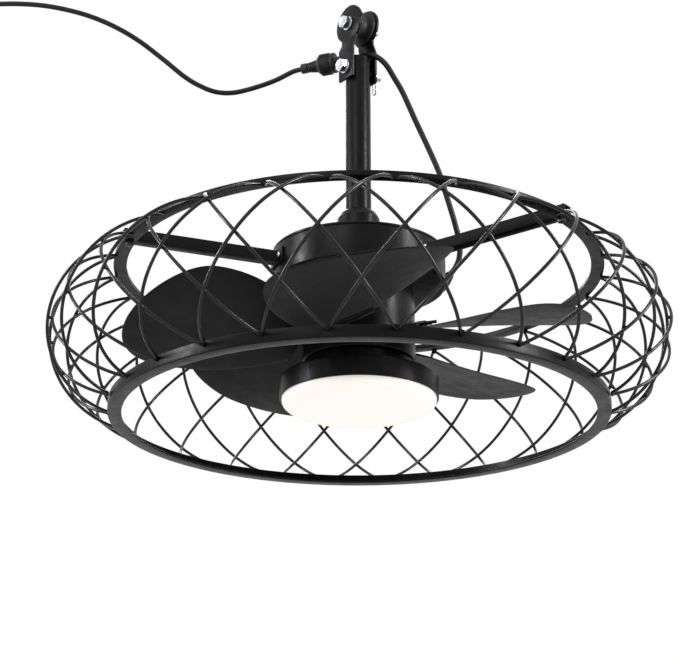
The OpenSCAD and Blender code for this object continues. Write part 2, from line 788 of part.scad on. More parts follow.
module lamp_diffuser() {
    skirt = 6;
    wall = 2;
    r = lamp_d / 2 - lamp_wall - diffuser_gap;
    outer = dome(r, diffuser_drop);
    inner = dome(r - wall, diffuser_drop - wall);
    last = len(outer) - 1;
    color("white")
    translate([0, 0, lamp_bottom_z])
    rotate_extrude($fn = round_fn)
    polygon(concat(
        [[r - wall, skirt], [r, skirt]],
        [for (i = [0:last - 1]) outer[i]], [[0, -diffuser_drop], [0, wall - diffuser_drop]],
        [for (i = [last - 1:-1:0]) inner[i]]));
}

// Cage

module upper_ring() {
    color(iron_black)
    difference() {
        translate([0, 0, upper_ring_z]) tube(ring_r, ring_r - upper_ring_w, upper_ring_t);
        around(arm_count, arm_phase) translate([arm_screw_r, 0, upper_ring_z - 1])
            cylinder(r = m5_r + seat_gap, h = upper_ring_t + 2, $fn = 48);
    }
}

module lower_ring() {
    color(iron_black)
    translate([0, 0, lower_ring_z]) {
        tube(ring_r, ring_r - lower_flange_w, lower_ring_t);
        tube(ring_r, ring_r - lower_ring_t, lower_leg_h);
    }
}

module wire(start, turn, reach) {
    sweep = 2 * wire_angle - 2 * tip_shift;
    across = 2 * wire_foot_r * sin(sweep / 2);
    foot_x = wire_foot_r * cos(sweep / 2);
    tip_x = sqrt(wire_tip_r * wire_tip_r - across * across / 4);
    middle_x = (foot_x + tip_x) / 2;
    height = norm([wire_high_z - wire_low_z, foot_x - tip_x]);
    half_chord = norm([across, height]) / 2;
    bulge = reach - middle_x;
    arc_r = (half_chord * half_chord + bulge * bulge) / (2 * bulge);
    half_angle = bulge > arc_r ? 180 - asin(half_chord / arc_r) : asin(half_chord / arc_r);
    rotate([0, 0, start + turn * wire_angle])
    translate([middle_x, 0, (wire_low_z + wire_high_z) / 2])
    rotate([0, -atan2(foot_x - tip_x, wire_high_z - wire_low_z), 0])
    translate([bulge - arc_r, 0, 0])
    rotate([-turn * atan2(across, height), 0, 0])
    rotate([90, 0, 0])
    rotate([0, 0, -half_angle])
    rotate_extrude(angle = 2 * half_angle, $fn = round_fn)
    translate([arc_r, 0])
    circle(r = wire_r, $fn = 24);
}

module wires(first, turn, reach) {
    color(iron_black)
    for (i = [first:2:wire_count - 1]) wire(wire_phase + i * wire_angle, turn, reach);
}

module rising_wires_a() { wires(0, 1, wire_reach); }
module rising_wires_b() { wires(1, 1, wire_reach); }
module falling_wires_a() { wires(0, -1, wire_reach - wire_step); }
module falling_wires_b() { wires(1, -1, wire_reach - wire_step); }

// Arms: square tubes whose coped ends lie on the upper ring

module foot_screw_places() {
    around(arm_count, arm_phase) for (side = [-1, 1])
        rotate([0, 0, side * foot_screw_angle]) translate([drum_r, 0, arm_low_z + arm_w / 2]) rotate([0, 90, 0]) children();
}

module arm(k) {
    mid_z = arm_low_z + arm_w / 2;
    color(iron_black)
    difference() {
        rotate([0, 0, arm_phase + k * 360 / arm_count]) difference() {
            union() {
                translate([drum_r - 3, -arm_w / 2, arm_low_z]) cube([ring_r - drum_r + 3, arm_w, arm_w]);
                intersection() {
                    translate([0, 0, mid_z - arm_foot_h / 2]) cylinder(r = drum_r + arm_foot_t, h = arm_foot_h, $fn = round_fn);
                    translate([drum_r - 8, -arm_foot_w / 2, mid_z - arm_foot_h / 2]) cube([12, arm_foot_w, arm_foot_h]);
                }
            }
            translate([drum_r + arm_foot_t, -arm_w / 2 + arm_wall, arm_low_z + arm_wall])
                cube([ring_r, arm_w - 2 * arm_wall, arm_w - 2 * arm_wall]);
            translate([ring_r - upper_ring_w - seat_gap, -arm_w, arm_low_z - 1])
                cube([upper_ring_w + 5, 2 * arm_w, upper_ring_t + 1 + seat_gap]);
            translate([arm_screw_r, 0, arm_low_z]) cylinder(r = m5_r + seat_gap, h = 2 * arm_w, $fn = 48);
        }
        translate([0, 0, mid_z - arm_w]) cylinder(r = drum_r + seat_gap, h = 2 * arm_w, $fn = round_fn);
        foot_screw_places() translate([0, 0, -4]) cylinder(r = m3_r + seat_gap, h = 12, $fn = 24);
    }
}

module arm_1() { arm(0); }
module arm_2() { arm(1); }
module arm_3() { arm(2); }

module arm_ring_screws() {
    color(zinc)
    around(arm_count, arm_phase) translate([arm_screw_r, 0, arm_high_z + seat_gap]) pan_screw(m5_r, arm_w + 6);
}

module arm_ring_nuts() {
    color(zinc)
    around(arm_count, arm_phase) translate([arm_screw_r, 0, upper_ring_z - 4 - seat_gap])
    difference() {
        cylinder(r = 2 * m5_r * 0.9, h = 4, $fn = 6);
        translate([0, 0, -1]) cylinder(r = m5_r + seat_gap, h = 6, $fn = 48);
    }
}

module arm_housing_screws() {
    color(zinc)
    foot_screw_places() translate([0, 0, arm_foot_t + 0.2]) pan_screw(m3_r, arm_foot_t + drum_wall + 1);
}

// Motor lead and the connector that joins it to the supply cord

module gland_place() {
    translate(lead_route[len(lead_route) - 1]) rotate([0, 90 - gland_tilt, gland_angle]) children();
}

module cable_gland() {
    nut_l = 7;
    color("dimgray")
    difference() {
        gland_place() {
            translate([0, 0, -nut_l - 1]) cylinder(r1 = lead_d * 0.85, r2 = lead_d * 0.75, h = nut_l + 1, $fn = 48);
            translate([0, 0, -20]) cylinder(r = lead_d, h = 20 - nut_l, $fn = 48);
        }
        translate([0, 0, drum_bottom_z - 10]) cylinder(r = drum_r + seat_gap, h = drum_h + 20, $fn = round_fn);
    }
}

module motor_lead() {
    color(iron_black) cord_tube(smooth_route(lead_route, ring_steps), lead_d, 8, cord_side);
}

module joint_place(k) {
    run = [for (i = [0:1:k - 1]) joint_lengths[i]];
    translate(joint_start)
    rotate([0, 0, joint_angle])
    rotate([0, 90, 0])
    translate([0, 0, len(run) == 0 ? 0 : run * [for (x = run) 1]])
    children();
}

module lead_connector() {
    color(iron_black) {
        joint_place(0) cylinder(r1 = lead_d / 2 + 0.8, r2 = lead_d / 2 + 2, h = joint_lengths[0] + eps, $fn = 48);
        joint_place(1) cylinder(r = nut_d / 4, h = joint_lengths[1] + eps, $fn = 48);
        joint_place(2) cylinder(r = nut_d / 2 - 1, h = joint_lengths[2], $fn = round_fn);
        joint_place(3) translate([0, 0, -eps]) cylinder(r = nut_d / 3, h = joint_lengths[3] - 2, $fn = round_fn);
    }
}

module connector_nut() {
    ribs = 20;
    r = nut_d / 2;
    color(iron_black)
    joint_place(3)
    translate([0, 0, seat_gap])
    difference() {
        union() {
            cylinder(r = r, h = joint_lengths[3] - 3, $fn = round_fn);
            translate([0, 0, joint_lengths[3] - 3 - eps]) cylinder(r1 = r, r2 = r - 3, h = 3, $fn = round_fn);
        }
        translate([0, 0, -1]) cylinder(r = nut_d / 3 + seat_gap, h = joint_lengths[3] + 2, $fn = round_fn);
        around(ribs) translate([r + 0.5, 0, -1]) cylinder(r = 1.1, h = joint_lengths[3] + 2, $fn = 24);
    }
}

module supply_connector() {
    flange_t = 1.5;
    color(iron_black) {
        joint_place(3) translate([0, 0, joint_lengths[3] - 2 + seat_gap])
            cylinder(r = nut_d / 3, h = 2 + seat_gap, $fn = round_fn);
        joint_place(4) cylinder(r1 = 7, r2 = cord_d / 2 + 2.3, h = joint_lengths[4], $fn = 48);
        joint_place(5) translate([0, 0, -eps]) cylinder(r = cord_d / 2 + 2.8, h = joint_lengths[5], $fn = 48);
    }
}

// Supply cord, its coil and plug

module supply_cord() {
    color(iron_black) cord_tube(smooth_route(cord_route, ring_steps), cord_d, 8, cord_side);
}

function smooth_step(t) = let (x = min(1, max(0, t))) (1 - cos(180 * x)) / 2;

function coil_rise_at(a, layer_turn) =
    coil_rise * ([for (i = [1:coil_layers - 1]) smooth_step((a - i * layer_turn + 90) / 180)] * [1, 1, 1]);

function coil_radius_at(a, layer_turn) =
    let (k = min(floor(a / layer_turn), coil_layers - 1), f = a / layer_turn - k)
    k % 2 == 0 ? coil_outer_r - (coil_outer_r - coil_inner_r) * f : coil_inner_r + (coil_outer_r - coil_inner_r) * f;

function coil_turns() =
    let (total = 360 * coil_loops, layer_turn = total / coil_layers, count = round(coil_loops * coil_rings),
        base = -coil_rise * (coil_layers - 1) / 2)
    [for (i = [0:count]) let (a = total * i / count, r = coil_radius_at(a, layer_turn), y = base + coil_rise_at(a, layer_turn))
        [r * cos(90 + a), y, r * sin(90 + a)]];

function coil_path() =
    let (t = coil_turns(), n = len(t) - 1, first = t[0], last = t[n])
    concat([first + [cord_d, 0, 0]], t, [last - [0, 0, cord_d], last - [0, 0, coil_tail]]);

module coil_place() {
    start = coil_path()[0];
    translate(coil_top) rotate([0, 0, coil_angle]) translate(-start) children();
}

module supply_coil() {
    color(iron_black) coil_place() cord_tube(coil_path(), cord_d, 6, [0, 1, 0]);
}

module coil_tie() {
    strap_t = 1.2;
    strap_w = 8;
    gap = side_gap;
    half_y = coil_rise * (coil_layers - 1) / 2 + cord_d / 2 + gap;
    low_r = coil_inner_r - cord_d / 2 - gap - 0.5;
    high_r = coil_outer_r + cord_d / 2 + gap;
    color("dimgray")
    coil_place()
    rotate([0, -135, 0])
    translate([low_r, -half_y, -strap_w / 2])
    difference() {
        translate([-strap_t, -strap_t, 0]) cube([high_r - low_r + 2 * strap_t, 2 * half_y + 2 * strap_t, strap_w]);
        translate([0, 0, -1]) cube([high_r - low_r, 2 * half_y, strap_w + 2]);
    }
}

module plug_place() {
    tail = coil_path()[len(coil_path()) - 1];
    coil_place() translate(tail) rotate([180, 0, 0]) children();
}

module plug_body() {
    neck = 10;
    color(iron_black)
    plug_place() {
        cylinder(r1 = cord_d / 2 + 1, r2 = 5.5, h = neck + eps, $fn = 48);
        translate([0, 0, neck]) intersection() {
            translate([-plug_w / 2, -plug_t / 2, 0]) cube([plug_w, plug_t, plug_l - neck]);
            cylinder(r = plug_w / 2, h = plug_l, $fn = round_fn);
        }
    }
}

module plug_pins() {
    pin_gap = 12.7;
    color("gold")
    plug_place()
    for (side = [-1, 1])
        translate([side * pin_gap / 2 - 0.75, -3.2, plug_l + seat_gap]) cube([1.5, 6.4, 17]);
}

// Least gap of the coil to itself, measured between points more than half a loop apart
coil_points = coil_path();
coil_gap = min([for (i = [0:len(coil_points) - 2]) for (j = [i + coil_rings / 2:1:len(coil_points) - 1])
    norm(coil_points[i] - coil_points[j])]) - cord_d;
echo(coil_gap = coil_gap);
echo(supply_length = route_length(smooth_route(cord_route, 8)) + route_length(coil_points));
echo(lead_length = route_length(smooth_route(lead_route, 8)));

hanger_sheave();
sheave_bush();
upper_bolt();
lower_bolt();
hanger_washers();
spring_washers();
r_clips();
cheek_plate_front();
cheek_plate_rear();
downrod();
coupling_cover();
motor_coupling();
coupling_pin();
motor_top_cover();
cover_screws();
motor_housing();
circuit_board();
motor_shaft();
upper_bearing();
lower_bearing();
stator_core();
stator_windings();
rotor_magnets();
blade_hub();
hub_top_cover();
blade_1();
blade_2();
blade_3();
blade_4();
blade_5();
blade_screws();
lamp_bracket();
lamp_housing();
led_board();
lamp_diffuser();
lamp_screws();
axle_nut();
upper_ring();
lower_ring();
rising_wires_a();
rising_wires_b();
falling_wires_a();
falling_wires_b();
arm_1();
arm_2();
arm_3();
arm_ring_screws();
arm_ring_nuts();
arm_housing_screws();
cable_gland();
motor_lead();
lead_connector();
connector_nut();
supply_connector();
supply_cord();
supply_coil();
coil_tie();
plug_body();
plug_pins();
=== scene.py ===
"""Looks of a caged gazebo ceiling fan: cords, cage, motor, blades, lamp and hanger."""

import logging
import math
from dataclasses import dataclass, field
from enum import Enum
from typing import Iterable, Optional, Sequence

import bmesh
import bpy
from mathutils import Matrix, Vector


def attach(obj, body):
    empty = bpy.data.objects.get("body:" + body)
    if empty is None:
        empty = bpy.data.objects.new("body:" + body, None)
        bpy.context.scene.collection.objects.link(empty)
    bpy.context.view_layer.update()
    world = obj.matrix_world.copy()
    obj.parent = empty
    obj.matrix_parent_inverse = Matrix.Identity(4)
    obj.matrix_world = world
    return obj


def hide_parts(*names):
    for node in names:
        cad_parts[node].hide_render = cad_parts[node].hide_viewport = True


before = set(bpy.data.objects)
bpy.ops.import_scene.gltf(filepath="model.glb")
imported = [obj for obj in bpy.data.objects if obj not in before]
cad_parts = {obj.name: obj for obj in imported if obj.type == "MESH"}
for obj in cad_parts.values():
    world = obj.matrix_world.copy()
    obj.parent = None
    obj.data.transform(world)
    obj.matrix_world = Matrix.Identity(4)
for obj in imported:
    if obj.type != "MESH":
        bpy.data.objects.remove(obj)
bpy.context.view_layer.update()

MM = 0.001
HAIR = 0.02  # gap between two faces that would coincide, in millimetres
LOG = logging.getLogger("gazebo_fan")
UP = Vector((0, 0, 1))
DUST_COLOUR = (0.34, 0.33, 0.31)
SHARP = 32.0  # edge angle, in degrees, past which shading breaks
Point = Sequence[float]
Socket = bpy.types.NodeSocket
Thing = bpy.types.Object


class Body(Enum):
    """Rigid bodies that the pieces ride on."""

    SHEAVE = "sheave"
    HANGER = "hanger"
    FAN = "fan_body"
    ROTOR = "rotor"


class Axis(Enum):
    """Axis that a turned piece is turned about."""

    X = "x"
    Z = "z"


# Materials


class Tree:
    """A node tree, and a short call that adds a node to it."""

    def __init__(self, tree: bpy.types.NodeTree) -> None:
        """Work on a tree."""
        self.tree = tree

    def node(self, kind: str, values: dict[object, object], output: object = 0, **props: object) -> Socket:
        """Add a node.

        Args:
            kind: Node type.
            values: Input name or number, and the socket or value that it gets.
            output: Name or number of the output that is returned.
            props: Properties of the node.

        Returns:
            The output socket.
        """
        node = self.tree.nodes.new(kind)
        for name, value in props.items():
            setattr(node, name, value)
        for key, value in values.items():
            if isinstance(value, Socket):
                self.tree.links.new(value, node.inputs[key])
            else:
                node.inputs[key].default_value = value
        return node.outputs[output]

    def math(self, operation: str, first: object, second: object) -> Socket:
        """Add a math node of two values."""
        return self.node("ShaderNodeMath", {0: first, 1: second}, operation=operation)

    def axes(self, **values: object) -> Socket:
        """Vector with the values given for X, Y or Z."""
        return self.node("ShaderNodeCombineXYZ", values)


class Bench(Tree):
    """A new material and the few node calls that the finishes share."""

    def __init__(self, name: str) -> None:
        """Start a material.

        Args:
            name: Its name.
        """
        self.material = bpy.data.materials.new(name)
        self.material.use_nodes = True
        super().__init__(self.material.node_tree)
        self.shader = self.tree.nodes["Principled BSDF"]
        self.coords = self.node("ShaderNodeTexCoord", {}, "Object")

    def set(self, **values: object) -> None:
        """Set plain values on the shader's own sockets, named with underscores for spaces."""
        for name, value in values.items():
            self.shader.inputs[name.replace("_", " ")].default_value = value

    def feed(self, socket: str, source: Socket) -> None:
        """Link a node's output to one of the shader's sockets."""
        self.tree.links.new(source, self.shader.inputs[socket])

    def stretched(self, scale: Point, source: Optional[Socket] = None) -> Socket:
        """Coordinates scaled along each axis, on Object coordinates unless others are given."""
        return self.node("ShaderNodeMapping", {"Scale": scale, "Vector": source or self.coords}, "Vector")

    def noise(self, scale: float, detail: float, source: Optional[Socket] = None) -> Socket:
        """Fractal noise, from its cells per metre, its octaves and its coordinates."""
        values = {"Scale": scale, "Detail": detail, "Vector": source or self.coords}
        return self.node("ShaderNodeTexNoise", values, "Fac")

    def spread(self, source: Socket, low: float, high: float, start: float = 0.3, end: float = 0.7) -> Socket:
        """Map a factor to a range of values.

        Args:
            source: Input factor.
            low: Value at start.
            high: Value at end.
            start: Factor that gives low.
            end: Factor that gives high.

        Returns:
            The mapped value.
        """
        values = {"Value": source, "From Min": start, "From Max": end, "To Min": low, "To Max": high}
        return self.node("ShaderNodeMapRange", values, "Result")

    def tint(self, source: Socket, first: Point, second: Point) -> Socket:
        """Blend two colours by a factor.

        Args:
            source: Input factor.
            first: Colour at a low factor.
            second: Colour at a high factor.

        Returns:
            The colour output.
        """
        node = self.tree.nodes.new("ShaderNodeValToRGB")
        for stop, place, colour in zip(node.color_ramp.elements, (0.3, 0.7), (first, second)):
            stop.position, stop.color = place, (*colour, 1.0)
        self.tree.links.new(source, node.inputs["Fac"])
        return node.outputs["Color"]

    def upward(self) -> Socket:
        """How far a face looks up, from 0 to 1."""
        normal = self.node("ShaderNodeNewGeometry", {}, "Normal")
        return self.spread(self.node("ShaderNodeSeparateXYZ", {"Vector": normal}, "Z"), 0.0, 1.0, 0.2, 1.0)

    def bump(self, height: Socket, depth: float) -> None:
        """Raise the surface by a height, chained after any earlier bump.

        Args:
            height: Height factor.
            depth: Depth in metres at a factor of 1.
        """
        values = {"Height": height, "Distance": depth}
        earlier = self.shader.inputs["Normal"].links
        if earlier:
            values["Normal"] = earlier[0].from_socket
        self.feed("Normal", self.node("ShaderNodeBump", values, "Normal"))


@dataclass(frozen=True)
class Finish:
    """A finish that varies a little over the surface.

    Attributes:
        name: Name of the material.
        slot: The record's material slot; not used.
        light: Lighter colour of the mottle.
        dark: Darker colour of the mottle.
        rough: Least and greatest roughness.
        metal: Metallic value.
        mottle: Scale of the colour and roughness variation, per metre.
        grain: Scale of the fine bump, per metre.
        grain_depth: Depth of the fine bump, in metres.
        dust: Share of pale dust on faces that look up.
        brushed: Stretch of the roughness noise along X, Y and Z.
        specular: Level of the gloss that isn't metallic.
        sheen: Weight of the sheen.
        sheen_rough: Roughness of the sheen.
    """

    name: str
    slot: str
    light: Point
    dark: Point
    rough: Point
    metal: float = 0.0
    mottle: float = 14.0
    grain: float = 900.0
    grain_depth: float = 0.00002
    dust: float = 0.0
    brushed: Point = (1.0, 1.0, 1.0)
    specular: float = 0.5
    sheen: float = 0.0
    sheen_rough: float = 0.5

    def bench(self) -> Bench:
        """Set the finish up.

        Returns:
            The bench that holds its material.
        """
        bench = Bench(self.name)
        bench.set(Metallic=self.metal, Specular_IOR_Level=self.specular, Sheen_Weight=self.sheen,
                  Sheen_Roughness=self.sheen_rough)
        colour = bench.tint(bench.noise(self.mottle, 4.0), self.dark, self.light)
        if self.dust:
            speckle = bench.spread(bench.noise(self.mottle * 9.0, 5.0), 0.0, self.dust, 0.42, 0.68)
            share = bench.math("MULTIPLY", bench.upward(), speckle)
            layers = {0: share, 6: colour, 7: (*DUST_COLOUR, 1.0)}
            colour = bench.node("ShaderNodeMix", layers, 2, data_type="RGBA")
        bench.feed("Base Color", colour)
        streaks = bench.noise(self.mottle * 6.0, 5.0, bench.stretched(self.brushed))
        bench.feed("Roughness", bench.spread(streaks, *self.rough, 0.35, 0.65))
        bench.bump(bench.noise(self.grain, 2.0), self.grain_depth)
        return bench

    def build(self) -> bpy.types.Material:
        """Make the material."""
        return self.bench().material


@dataclass(frozen=True)
class CordFinish(Finish):
    """Smooth cord jacket with faint extrusion lines that follow the cord.

    Attributes:
        line_stretch: Stretch of the lines round and along the cord.
        line_scale: Scale of the lines.
        line_depth: Depth of the lines, in metres.
    """

    line_stretch: Point = (9.0, 0.35, 1.0)
    line_scale: float = 4.0
    line_depth: float = 0.00005

    def bench(self) -> Bench:
        """Set the finish up, with lines that run along the piece's own UV map.

        Returns:
            The bench that holds its material.
        """
        bench = super().bench()
        along = bench.stretched(self.line_stretch, bench.node("ShaderNodeUVMap", {}, "UV", uv_map="along"))
        bench.bump(bench.noise(self.line_scale, 2.0, along), self.line_depth)
        return bench


@dataclass(frozen=True)
class DiffuserFinish(Finish):
    """Frosted white plastic that glows from the lamp behind it.

    Attributes:
        glow: Strength of the light that it gives.
        warm: Colour of that light where it is warmest.
        pale: Colour of that light where it is palest.
        depth: How far light scatters in it, in metres.
    """

    glow: float = 0.3
    warm: Point = (1.0, 0.94, 0.88)
    pale: Point = (1.0, 0.96, 0.91)
    depth: float = 0.004

    def bench(self) -> Bench:
        """Set the finish up.

        Returns:
            The bench that holds its material.
        """
        bench = Bench(self.name)
        bench.set(Subsurface_Weight=0.15, Subsurface_Radius=[self.depth] * 3, IOR=1.49)
        bench.set(Emission_Strength=self.glow)
        bench.feed("Base Color", bench.tint(bench.noise(self.mottle, 2.0), self.dark, self.light))
        bench.feed("Roughness", bench.spread(bench.noise(60.0, 3.0), *self.rough))
        bench.feed("Emission Color", bench.tint(bench.noise(9.0, 1.0), self.warm, self.pale))
        bench.bump(bench.noise(self.grain, 2.0), self.grain_depth)
        return bench


PAINT = Finish("satin_black_powder_coat", "black_paint", (0.0050, 0.0050, 0.0055), (0.0028, 0.0028, 0.0032),
               (0.26, 0.38), grain=1300.0, grain_depth=0.000035, dust=0.04, specular=0.10)
WIRE_PAINT = Finish("black_wire_coat", "black_paint", (0.006, 0.006, 0.0065), (0.0035, 0.0035, 0.004),
                    (0.18, 0.27), grain=2200.0, grain_depth=0.00001, specular=0.26)
ZINC = Finish("bright_zinc_plate", "zinc", (0.66, 0.67, 0.69), (0.48, 0.49, 0.51), (0.20, 0.34), 1.0,
              mottle=60.0, grain=2600.0, grain_depth=0.000012, brushed=(1.0, 0.2, 1.0))
DARK_ZINC = Finish("black_zinc_nut", "zinc", (0.060, 0.060, 0.063), (0.035, 0.035, 0.038), (0.26, 0.40), 1.0,
                   mottle=60.0, grain=2600.0, grain_depth=0.000012)
STEEL = Finish("turned_steel", "steel", (0.60, 0.61, 0.63), (0.48, 0.48, 0.50), (0.24, 0.40), 1.0,
               mottle=50.0, brushed=(0.3, 0.3, 6.0))
BRASS = Finish("bush_brass", "bush_brass", (0.74, 0.55, 0.29), (0.60, 0.43, 0.21), (0.26, 0.42), 1.0,
               mottle=70.0)
PIN_BRASS = Finish("plug_pin_brass", "brass_pins", (0.82, 0.65, 0.36), (0.72, 0.55, 0.29), (0.18, 0.30), 1.0,
                   mottle=90.0)
BLADE = Finish("fine_textured_blade", "blade_plastic", (0.0060, 0.0060, 0.0060), (0.0035, 0.0035, 0.0038),
               (0.46, 0.58), mottle=9.0, grain=1900.0, grain_depth=0.00004, dust=0.03, specular=0.08,
               sheen=0.10, sheen_rough=0.35)
MOULDED = Finish("moulded_black_connector", "connector_plastic", (0.013, 0.013, 0.0135),
                 (0.008, 0.008, 0.0085), (0.38, 0.52), mottle=40.0, grain=1700.0, grain_depth=0.00003,
                 specular=0.28)
SHEAVE_RUBBER = Finish("moulded_black_rubber", "black_rubber", (0.013, 0.013, 0.0135), (0.008, 0.008, 0.0085),
                       (0.50, 0.66), mottle=45.0, grain=1500.0, grain_depth=0.00004, specular=0.25,
                       sheen=0.04)
JACKET = CordFinish("smooth_cord_jacket", "cord_jacket", (0.010, 0.010, 0.0105), (0.006, 0.006, 0.0065),
                    (0.40, 0.52), mottle=35.0, grain=2400.0, grain_depth=0.000015, specular=0.22)
TIE = Finish("woven_tie_strap", "cord_jacket", (0.030, 0.030, 0.032), (0.014, 0.014, 0.015), (0.70, 0.85),
             mottle=80.0, grain=3600.0, grain_depth=0.00012, sheen=0.3)
MAGNET = Finish("plated_magnet", "magnet", (0.24, 0.24, 0.25), (0.15, 0.15, 0.16), (0.30, 0.45), 1.0,
                mottle=60.0)
COPPER = Finish("enamelled_copper", "copper", (0.72, 0.36, 0.18), (0.55, 0.24, 0.11), (0.22, 0.34), 0.9,
                mottle=80.0, grain=2200.0, grain_depth=0.0003, brushed=(1.0, 1.0, 14.0))
BOARD = Finish("green_solder_mask", "circuit_board", (0.04, 0.25, 0.12), (0.02, 0.16, 0.08), (0.25, 0.4),
               mottle=120.0)
LED_BOARD = Finish("white_solder_mask", "led_board", (0.86, 0.86, 0.84), (0.78, 0.78, 0.76), (0.35, 0.5),
                   mottle=120.0)
DIFFUSER = DiffuserFinish("frosted_lit_diffuser", "diffuser", (0.80, 0.765, 0.725), (0.78, 0.745, 0.705),
                          (0.30, 0.42), mottle=20.0, grain=2600.0, grain_depth=0.00001)


# Solids in millimetres


def spin(degrees: float, axis: str = "Z") -> Matrix:
    """Turn about an axis."""
    return Matrix.Rotation(math.radians(degrees), 4, axis)


def shift(x: float, y: float, z: float) -> Matrix:
    """Move along the axes."""
    return Matrix.Translation((x, y, z))


def polar(radius: float, degrees: float, z: float = 0.0) -> Vector:
    """Point at a radius and angle."""
    a = math.radians(degrees)
    return Vector((radius * math.cos(a), radius * math.sin(a), z))


def box(x: float, y: float, radius: float = 0.0) -> list[tuple[float, float, float]]:
    """Outline of a rectangle, from half its sides and the radius of its corners."""
    return [(-x, -y, radius), (x, -y, radius), (x, y, radius), (-x, y, radius)]


@dataclass
class Solid:
    """A closed mesh in millimetres.

    Attributes:
        points: Its corners.
        faces: Its faces, as corner numbers.
    """

    points: list[Vector] = field(default_factory=list)
    faces: list[tuple[int, ...]] = field(default_factory=list)

    def moved(self, place: Matrix) -> "Solid":
        """Copy put at another place."""
        return Solid([place @ p for p in self.points], list(self.faces))

    def __add__(self, other: "Solid") -> "Solid":
        """Join two solids.

        Args:
            other: The second solid.

        Returns:
            Both as one mesh.
        """
        base = len(self.points)
        faces = [tuple(base + i for i in f) for f in other.faces]
        return Solid(self.points + other.points, self.faces + faces)


def rounded(outline: Sequence[Point], steps: int = 3) -> list[tuple[float, float]]:
    """Round the corners of a closed outline.

    Args:
        outline: Points (a, b) or (a, b, radius), in millimetres.
        steps: Segments per rounded corner.

    Returns:
        The outline with its rounded corners.
    """
    result: list[tuple[float, float]] = []
    for i, corner in enumerate(outline):
        here = Vector(corner[:2])
        radius = corner[2] if len(corner) > 2 else 0.0
        back, ahead = Vector(outline[i - 1][:2]) - here, Vector(outline[(i + 1) % len(outline)][:2]) - here
        if radius <= 0 or back.length < 1e-6 or ahead.length < 1e-6:
            result.append((here.x, here.y))
            continue
        half = back.angle(ahead) / 2
        cut = min(radius / max(math.tan(half), 1e-3), 0.48 * back.length, 0.48 * ahead.length)
        start, end = here + back.normalized() * cut, here + ahead.normalized() * cut
        for k in range(steps + 1):
            t = k / steps
            p = start * (1 - t) ** 2 + here * 2 * t * (1 - t) + end * t * t
            result.append((p.x, p.y))
    return result


def turned(outline: Sequence[Point], steps: int = 128, axis: Axis = Axis.Z, round_steps: int = 3) -> Solid:
    """Turn a closed outline about an axis.

    Args:
        outline: Points (radius, height) or (radius, height, corner radius).
        steps: Segments round the axis.
        axis: Axis that the heights run along.
        round_steps: Segments per rounded corner.

    Returns:
        The turned solid.
    """
    ring = rounded(outline, round_steps)
    solid = Solid()
    for k in range(steps):
        for r, h in ring:
            p = polar(max(r, 0.0), 360 * k / steps, h)
            solid.points.append(p if axis is Axis.Z else Vector((h, p.x, p.y)))
    n = len(ring)
    for k in range(steps):
        m = (k + 1) % steps
        for i in range(n):
            j = (i + 1) % n
            if max(ring[i][0], ring[j][0]) >= 1e-6:
                solid.faces.append((k * n + i, m * n + i, m * n + j, k * n + j))
    return solid


def slab(outline: Sequence[Point], low: float, high: float, bevel: float = 0.4) -> Solid:
    """Plate from a convex outline in XY, with bevelled rims.

    Args:
        outline: Corners, counter-clockwise.
        low: Lowest Z.
        high: Highest Z.
        bevel: Width of the bevel.

    Returns:
        The plate.
    """
    n = len(outline)
    flat = [Vector(p[:2]) for p in outline]
    inset: list[Vector] = []
    for i in range(n):
        a, b, c = flat[i - 1], flat[i], flat[(i + 1) % n]
        first, second = (b - a).normalized(), (c - b).normalized()
        normal = Vector((-first.y - second.y, first.x + second.x)).normalized()
        inset.append(b + normal * bevel / max(0.4, normal.dot(Vector((-first.y, first.x)))))
    rings = [(inset, low), (flat, low + bevel), (flat, high - bevel), (inset, high)]
    solid = Solid([Vector((p.x, p.y, z)) for points, z in rings for p in points])
    for k in range(3):
        for i in range(n):
            j = (i + 1) % n
            solid.faces.append((k * n + i, k * n + j, (k + 1) * n + j, (k + 1) * n + i))
    solid.faces += [tuple(range(n - 1, -1, -1)), tuple(range(3 * n, 4 * n))]
    return solid


def hexagon(radius: float, low: float, high: float, bevel: float) -> Solid:
    """Six-sided plate with bevelled rims, from the radius of its corners."""
    return slab([polar(radius, 60 * k) for k in range(6)], low, high, bevel)


def pan_head(radius: float, height: float) -> Solid:
    """Domed screw head with a cross recess.

    Args:
        radius: Radius of the head.
        height: Height of the head.

    Returns:
        The head, its foot at the origin.
    """
    side, crown = (radius * 0.96, height * 0.55, 0.5), (radius * 0.55, height, 0.8)
    dome = [(0, 0), (radius, 0, 0.2), side, crown, (0, height)]
    bar = slab(box(radius * 0.5, radius * 0.09), height * 0.93, height + HAIR, 0.03)
    return turned(dome, 24) + bar + bar.moved(spin(90))


def bead(radius: float, height: float) -> Solid:
    """Small flattened weld bead, its middle at the origin."""
    middle = [polar(1.0, a) for a in range(-60, 61, 30)]
    return turned([(0.0, -height), *((radius * p.x, height * p.y) for p in middle), (0.0, height)], 10)


def smooth_route(points: Sequence[Point], steps: int) -> list[Vector]:
    """Smooth curve through every point of a route.

    Args:
        points: The route's points.
        steps: Pieces between two points.

    Returns:
        Points along the curve.
    """
    p = [Vector(q) for q in points]
    p = [2 * p[0] - p[1], *p, 2 * p[-1] - p[-2]]
    curve: list[Vector] = []
    for i in range(1, len(p) - 2):
        a, b, c, d = p[i - 1 : i + 3]
        for k in range(steps):
            t = k / steps
            bend, twist = 2 * a - 5 * b + 4 * c - d, 3 * b - a - 3 * c + d
            curve.append(0.5 * (2 * b + (c - a) * t + bend * t * t + twist * t**3))
    return curve + [p[-2]]


